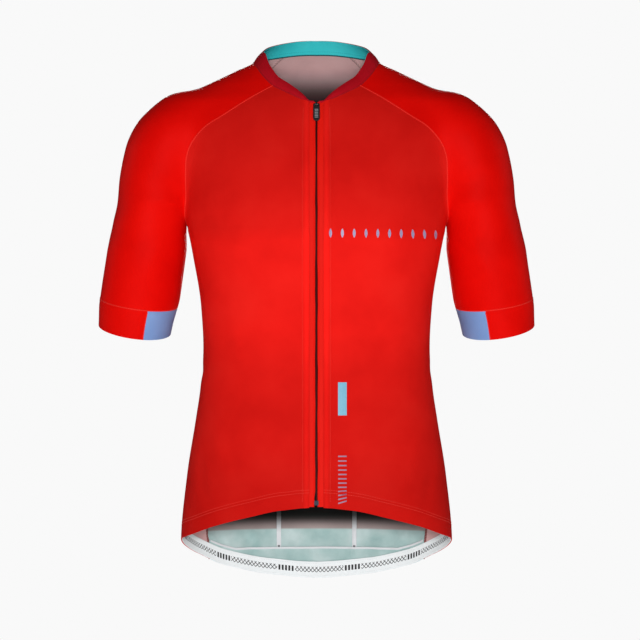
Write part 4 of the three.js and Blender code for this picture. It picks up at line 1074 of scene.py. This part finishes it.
# Woven polyester tape: fine crosswise ribs, off-white, with painted shade that darkens it to near
# black above the turquoise band, where the inside of the back lies in shadow.
white_tape, tree, surface, ribs = woven("woven polyester tape, white", 0.001, None, Roughness=0.75)
off_white = ramp(tree, ribs, [(0.0, "#C6CACD"), (0.5, "#DDE1E4")])
TAPE_PAINTED_SHADE = [  # painted shade: height in metres, tone
    (-0.590, "#202020"), (-0.597, "#494949"), (-0.603, "#909090"), (-0.611, "#E2E2E2"),
    (-0.6205, "#FFFFFF"),
]
dressed(tree, surface, toned(tree, off_white, TAPE_PAINTED_SHADE), ribs, 0.0003, 0.5)


def on_trunk(x, z, ahead):
    """Points of the trunk's section at a distance from the middle and a height, on its front
    (ahead -1) or its back (1): depth (1 - (|x|/half)^power)^(1/power)."""
    half, front, behind, power = trunk_at(z)
    depth = front if ahead < 0 else behind
    y = ahead * depth * (1 - (np.abs(x) / half) ** power) ** (1 / power)
    return np.stack(np.broadcast_arrays(x, y, z), axis=-1)


TAPE_HALF, SEAM_TAPE = 3, 3  # half the width of a pocket tape, and the width of the seam tape
TAPE_ANGLE = 151.0  # degrees round the trunk, where the pocket tapes start
grey_stitch = filament("polyester filament thread, dark grey", "#3A3E40", "#5C6163")
tape_end = POCKET_SEAM + SEAM_TAPE / 2 + LAYER_GAP
tape_heights = np.linspace(hem_at(TAPE_ANGLE)[1], tape_end, 66)[:, None]
for hand, side in SIDES.items():
    x = side * (DIVISION + np.linspace(TAPE_HALF, -TAPE_HALF, 5))
    face, out = lay_on(on_trunk(x, tape_heights, 1), back_lift, BEHIND)
    tape = shell(f"pocket_tape_{hand}", face, out, TRIM, [white_tape])
    # A dark bar-tack locks the end of each line of stitches.
    x = side * DIVISION + np.linspace(-1.6, 1.6, 6)
    spot, up = lay_on(on_trunk(x, POCKET_SEAM + 2.6, 1), back_lift, BEHIND - TRIM)
    back_trims += [tape, stitches(f"pocket_tape_{hand}.bar_tack", [(spot, -up)], 0.62, (0.6, 3.0, 0.9),
                                  grey_stitch)]

seam_steps = np.linspace(SEAM_TAPE / 2, -SEAM_TAPE / 2, 4)[:, None]
strip_form = back_rows((back_tops[:, 2] - back_pocket_seam - seam_steps) / back_drop)[:, within]
strip_face, strip_out = lay_on(strip_form, back_lift, BEHIND)
strip = shell("pocket_seam_tape", strip_face, strip_out, TRIM, [white_tape])

# ---------------------------------------------------------------- Zip
# A fine coil zip from the collar to the hem. Red woven tapes run behind the folded edges, with
# a raised edge beside the dark red nylon coil, which is set back between them.

zip_tape_red, tree, surface, weave = woven("woven polyester zip tape, red", 0.0011, 0.0009,
                                           Roughness=0.6, Specular_IOR_Level=0.08)
tape_dye = ramp(tree, weave, [(0.0, "#CE0B05"), (0.7, "#EC190B")])
dressed(tree, surface, tape_dye, weave, 0.0002, 0.5)

zip_heights = np.linspace(-58, -570, 200)
TAPE_REACH = 16  # how far a tape goes from the middle


def coil_edge(z):
    """Half the width of the gap over the coil, in millimetres: it grows below the chest, wanders
    a little, and opens at the bottom, where the tapes end."""
    width = 1.1 + 0.3 * ease((-z - 120) / 200)
    width = width + 0.2 * np.sin(z / 17) + 0.12 * np.sin(z / 6.4)
    return width + 1.4 * ease((-557 - z) / 12)


def tape_lift(p):
    """The zip tape's creases, and its raised edge beside the coil."""
    return creases(p) + 0.8 * bell(np.abs(p[..., 0]) - coil_edge(p[..., 2]) - 0.9, 0.9)


tape_steps = np.array([0, 0.4, 0.9, 1.4, 2.2, 3.6, 5.6, 7.5, 10.5, 14.6])  # closer at the coil
for hand, side in SIDES.items():
    edge = coil_edge(zip_heights + 9 * side)[:, None]
    x = side * (edge + tape_steps * (TAPE_REACH - edge) / tape_steps[-1])
    face, out = lay_on(on_trunk(x, zip_heights[:, None], -1), tape_lift, BEHIND)
    shell(f"zip_tape_{hand}", face, out, TRIM, [zip_tape_red])

# Nylon coil, dyed dark red: each turn is a bead across the gap, from one side or the other.
coil_nylon = filament("nylon 6 coil, dark red", "#280405", "#420707")
coil_rows = []
for side in SIDES.values():  # one side's turns start half a turn below the other's
    height = np.linspace(-68.0 - 0.32 * (1 + side), -561, 240)
    coil_rows.append(lay_on(on_trunk(0.45 * side, height, -1), creases, -1.5))
coil = stitches("zip_chain.coil", coil_rows, 1.27, (0.95, 2.1, 1.5), coil_nylon)
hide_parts("zip_chain")

# ---------------------------------------------------------------- Bottom stop of the zip
# A small moulded block of blue-grey acetal, pressed on to both tapes where the coil ends.


def slab(outline, near, far, crosswise=False):
    """A closed slab: an outline in x and z, counter-clockwise from the front, between two depths.
    A crosswise slab has its outline in y and z instead, and is turned a quarter about z."""
    outline = np.array(outline, float)
    turn = np.array([[0, 1, 0], [-1, 0, 0], [0, 0, 1]]) if crosswise else np.eye(3)
    layers = [np.insert(outline, 1, depth, axis=1) @ turn for depth in (near, far)]
    k = np.arange(len(outline))
    after = np.roll(k, -1)
    sides = quads(k, k + len(k), after + len(k), after)
    return np.vstack(layers), [k.tolist(), (k[::-1] + len(k)).tolist(), *sides.tolist()]


def rounded(half, low, high, corner, steps=5):
    """The outline of a rectangle with round corners, counter-clockwise from the lower right."""
    spots = np.array([(half - corner, low + corner), (half - corner, high - corner),
                      (corner - half, high - corner), (corner - half, low + corner)])
    turn = np.linspace(-np.pi / 2, 0, steps) + np.pi / 2 * np.arange(4)[:, None]
    arcs = np.stack([np.cos(turn), np.sin(turn)], axis=2)
    return (spots[:, None] + corner * arcs).reshape(-1, 2)


def solid(name, parts, place, material, body="jersey", rounding=0.3):
    """One piece of several closed parts, each of points and faces, set in place by a function."""
    points, faces = [], []
    for some, sides in parts:
        faces += [[corner + sum(map(len, points)) for corner in face] for face in sides]
        points.append(some)
    piece = put(name, place(np.vstack(points)), faces, [material], body)
    soften(piece, rounding)
    return piece


# Acetal as it leaves the mould: an even tint with a faint orange-peel.
stop_acetal = grained("moulded acetal, blue-grey", 900.0, 2.0, [(0.3, "#2A303C"), (0.7, "#3A4250")],
                      0.4, Roughness=0.5, Specular_IOR_Level=0.15)
STOP_HEIGHT = -565.0
stop_at = np.array([0, -trunk_at(STOP_HEIGHT)[1], STOP_HEIGHT])
stop_parts = [slab(rounded(2.9, -3, 3, 1.2), -0.8, 1.2),
              slab(rounded(1.9, -2, 2, 0.8), -1.15, -0.7)]
stop = solid("zip_bottom_stop.block", stop_parts, lambda p: p + stop_at, stop_acetal)
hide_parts("zip_bottom_stop")

# ---------------------------------------------------------------- Slider
# A small die-cast zinc slider, lacquered black, with its nose up under the collar: a shield in
# front, a back plate behind the coil, a bridge between them, and two lugs that hold a steel pin.

# Black lacquer over the casting: smooth, with the casting's slight waviness under it.
black_zinc = grained("die-cast zinc, black lacquer", 700.0, 3.0, [(0.3, "#0B0B0C"), (0.7, "#161618")],
                     0.3, Roughness=0.28, Coat_Weight=0.3, Coat_Roughness=0.2)

SLIDER = np.array([0, -80.16, -65.0])  # its centre
TILT = np.radians(-21.356)  # the coil's own slope at the throat
PIN = np.array([0, -3.55, 1.9])  # the pin's middle, in the slider's own frame
SHIELD = np.array([(-3, -5), (3, -5), (3.9, -1.5), (4.2, 1.5), (4.2, 3.6), (2.9, 5), (-2.9, 5),
                   (-4.2, 3.6), (-4.2, 1.5), (-3.9, -1.5)])
LUG = [(-3.9, 0.3), (-4.75, 1.1), (-4.75, 2.7), (-3.9, 3.5), (-0.95, 3.5), (-0.95, 0.3)]


def in_slider(p):
    """Points from the slider's own frame: tilted about x, then moved to its centre."""
    x, y, z = p.T
    back, up = y * np.cos(TILT) - z * np.sin(TILT), y * np.sin(TILT) + z * np.cos(TILT)
    return SLIDER + np.stack([x, back, up], axis=1)


def turned_bar(half_length, inner, outer, sides=20):
    """A ring about the x axis: a rectangle turned about it. A solid bar is a ring whose inner
    radius is next to nothing."""
    turn = np.linspace(0, 2 * np.pi, sides, endpoint=False)[:, None]
    across = np.array([-half_length, half_length, half_length, -half_length]) + 0 * turn
    radius = np.array([inner, inner, outer, outer])
    number = np.arange(4 * sides).reshape(sides, 4)
    beside, after = np.roll(number, -1, axis=1), np.roll(number, -1, axis=0)
    faces = quads(number, beside, np.roll(beside, -1, axis=0), after)
    points = np.stack([across, radius * np.cos(turn), radius * np.sin(turn)], axis=-1)
    return points.reshape(-1, 3), faces.tolist()


pin_points, pin_faces = turned_bar(2.95, 0.02, 0.7)
slider_parts = [
    slab(SHIELD, -1.45, -0.05), slab(SHIELD * 0.97, 3.3, 4.5), slab(rounded(1, 3, 5, 0.5), -0.5, 3.6),
    slab(LUG, -2.8, -2, crosswise=True), slab(LUG, 2, 2.8, crosswise=True),
    (pin_points + PIN, pin_faces),
]
slider = solid("zip_slider.body", slider_parts, in_slider, black_zinc, rounding=0.35)
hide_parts("zip_slider")

# ---------------------------------------------------------------- Pull tab
# A long pull of black thermoplastic rubber, moulded round a metal eye that swings on the pin.
# Its face is dished inside a raised rim, with a row of pale grip ribs.

# Moulded rubber: nearly black and matt, with a fine spark-eroded grain.
black_rubber = grained("moulded thermoplastic rubber, black", 1800.0, 3.0,
                       [(0.3, "#101011"), (0.7, "#1D1D1F")], 0.5,
                       Roughness=0.5, Specular_IOR_Level=0.4)
# The ribs are inlaid in grey rubber.
grey_rubber = grained("moulded thermoplastic rubber, grey", 1800.0, 3.0,
                      [(0.3, "#7E8084"), (0.7, "#9A9CA0")], 0.0, Roughness=0.55)

TAB_HALF, NECK_HALF = 4.3, 1.7  # half the width of the tab, and of its neck
TIP, TIP_LENGTH = -18.7, 4.33  # where the round end starts below the pin, and its length if whole
tab_down = np.concatenate([np.linspace(-1.2, -4.6, 9), np.linspace(-5, TIP, 20),
                           TIP - TAB_HALF * np.sin(np.linspace(0.1, 1.53, 14))])
tab_half = NECK_HALF + (TAB_HALF - NECK_HALF) * ease((-2.2 - tab_down) / 2.4)
tab_half = tab_half * np.sqrt(np.clip(1 - ((TIP - tab_down).clip(0) / TIP_LENGTH) ** 2, 0, 1))
# Each section is an oblong with round corners: |cos turn|^0.62 across by |sin turn|^0.42 through.
turn = np.linspace(0, 2 * np.pi, 41)[:-1]
sides = np.sign(np.cos(turn)) * np.abs(np.cos(turn)) ** 0.62
thick = np.sign(np.sin(turn)) * np.abs(np.sin(turn)) ** 0.42
rim = 0.72 + 0.1 * bell(np.abs(sides) - 0.84, 0.1)  # the rim stands over a slightly dished face
ends = np.minimum(1, 0.3 + 0.7 * tab_half / NECK_HALF)  # it is thinner towards the tip
tab_points = np.stack(np.broadcast_arrays(
    tab_half[:, None] * sides, ends[:, None] * rim * thick, tab_down[:, None]), axis=-1)
number = np.arange(tab_points.size // 3).reshape(tab_points.shape[:2])
after = np.roll(number, -1, axis=1)
tab_faces = quads(number[:-1], number[1:], after[1:], after[:-1]).tolist()
tab_faces += [number[0].tolist(), number[-1, ::-1].tolist()]
tab_parts = [(tab_points.reshape(-1, 3), tab_faces), turned_bar(NECK_HALF, 1.05, 1.75)]
tab = solid("zip_pull_tab.rubber", tab_parts, lambda p: in_slider(p + PIN), black_rubber,
            "pull_tab", 0.15)
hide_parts("zip_pull_tab")
ribs = [slab(rounded(2.3, z - 0.5, z + 0.5, 0.45), near, far)
        for z in np.linspace(-7.2, -18.2, 6) for near, far in ((-0.86, -0.5), (0.5, 0.86))]
solid("zip_pull_tab.grip_ribs", ribs, lambda p: in_slider(p + PIN), grey_rubber,
      "pull_tab", 0.1)

# ---------------------------------------------------------------- Prints
# Plain marks in thin film, pressed on the wearer's left front by heat: a block and a ladder of
# bars beside the zip, and a row of upright lozenges over the chest.


def film(name, corners, steps, material, pinch=0.0):
    """Flat shapes of film, laid on the front and given a closed edge. Each is a grid blended from
    four corners (top left, top right, bottom left, bottom right) in x and z, whose rows narrow
    towards its ends by the share pinch times (2t - 1)^2."""
    corners = np.array(corners, float)
    down, across = np.linspace(0, 1, steps[0])[:, None, None], np.linspace(0, 1, steps[1])[:, None]
    top = corners[:, None, None, 0] * (1 - across) + corners[:, None, None, 1] * across
    bottom = corners[:, None, None, 2] * (1 - across) + corners[:, None, None, 3] * across
    spots = top + (bottom - top) * down
    middle = spots.mean(2, keepdims=True)
    spots = middle + (spots - middle) * (1 - pinch * (2 * down - 1) ** 2)
    face, out = lay_on(on_trunk(spots[..., 0], spots[..., 1], -1), front_lift, 0.16)
    layers = np.stack([face, face - 0.3 * out], axis=1).reshape(len(corners), -1, 3)
    number = np.arange(steps[0] * steps[1]).reshape(steps)
    faces = wall(number) + 2 * number.size * np.arange(len(corners))[:, None, None]
    return put(name, layers, faces.reshape(-1, 4).tolist(), [material])


def transfer(name, dark, light):
    """Heat-pressed polyurethane film: satin, with the knit showing through as a faint grain."""
    return grained(name, 1100.0, 2.0, [(0.35, dark), (0.65, light)], 0.4, Roughness=0.4,
                   Specular_IOR_Level=0.4)


sky_film = transfer("transfer film, sky blue", "#589FBC", "#66AECA")
lilac_film = transfer("transfer film, lilac", "#9A8CB0", "#AA9EC2")
mauve_film = transfer("transfer film, mauve", "#7E4C6E", "#8A587A")
block = [[(27.2, -413.6), (38.2, -413.6), (27.2, -455.3), (38.2, -455.3)]]
film("front_left.block_print", block, (34, 10), sky_film)
bar = np.arange(12)
bar_height = -505.8 - 5.85 * bar + 0.045 * bar**2  # they come closer downwards
bar_slope = 3.08 * np.clip((bar - 7) / 4, 0, 1)  # the last ones rise towards the side
bars = [[(27.3, z), (38.0, z + s), (27.3, z - 1.8), (38.0, z + s - 1.8)]
        for z, s in zip(bar_height, bar_slope)]
film("front_left.ladder_print", bars, (3, 10), mauve_film)
lozenges = [[(x - 1.9, -220.4), (x + 1.9, -220.4), (x - 1.9, -231.6), (x + 1.9, -231.6)]
            for x in np.linspace(17.7, 151.5, 10)]
film("front_left.chest_print", lozenges, (17, 7), lilac_film, 0.85)

# ---------------------------------------------------------------- Stage
# A plain pale floor well below the hem, a broad soft light from the front and above, and a
# white surround.

turn = np.linspace(0, 2 * np.pi, 97)[:-1]
floor_rim = np.stack([2.2 * np.cos(turn), 2.2 * np.sin(turn), 0 * turn - 1.05], axis=1)
floor_mesh = bpy.data.meshes.new("floor")
floor_mesh.from_pydata(floor_rim, [], [list(range(len(turn)))])
floor = bpy.data.objects.new("floor", floor_mesh)
bpy.context.scene.collection.objects.link(floor)
off_white = colour("#F4F4F4")
paper, _, _ = finish_of("matt white paper, lit from behind", Base_Color=off_white, Roughness=0.9,
                        Emission_Color=off_white, Emission_Strength=0.4)
floor_mesh.materials.append(paper)

world = bpy.data.worlds.new("studio")
bpy.context.scene.world = world
world.use_nodes = True
sky = world.node_tree
sky.nodes.clear()
seen = node(sky, "ShaderNodeBackground", {"Color": colour("#F9F9F9"), "Strength": 1.0})
fill = node(sky, "ShaderNodeBackground", {"Color": (1, 1, 1, 1), "Strength": 0.085})
ray = node(sky, "ShaderNodeLightPath")
mix = node(sky, "ShaderNodeMixShader",
           {0: ray.outputs["Is Camera Ray"], 1: fill.outputs[0], 2: seen.outputs[0]})
node(sky, "ShaderNodeOutputWorld", {"Surface": mix.outputs[0]})


def softbox(name, place, aim, width, height, power):
    """An oblong light at a place, turned towards a point, in metres and watts."""
    light = bpy.data.lights.new(name, "AREA")
    light.shape, light.size, light.size_y, light.energy = "RECTANGLE", width, height, power
    lamp = bpy.data.objects.new(name, light)
    bpy.context.scene.collection.objects.link(lamp)
    lamp.location = place
    lamp.rotation_euler = (Vector(aim) - Vector(place)).to_track_quat("-Z", "Y").to_euler()


softbox("key softbox", (0.0, -3.4, -0.1), (0, 0, -0.33), 0.6, 0.35, 80)
softbox("rear softbox", (0.0, 3.4, 0.5), (0, 0, -0.33), 1.6, 1.6, 66)
for hand, side in SIDES.items():
    softbox(f"{hand} softbox", (3.2 * side, 1.3, 0.6), (0, 0, -0.33), 1.2, 1.2, 8)

camera_data = bpy.data.cameras.new("camera")
camera_data.sensor_width, camera_data.lens = 36, 138.46
camera = bpy.data.objects.new("camera", camera_data)
bpy.context.scene.collection.objects.link(camera)
camera.location = (0.0045, -3.2, -0.335)
camera.rotation_euler = (np.pi / 2, 0, 0)
bpy.context.scene.camera = camera
bpy.context.scene.view_settings.view_transform = "Standard"
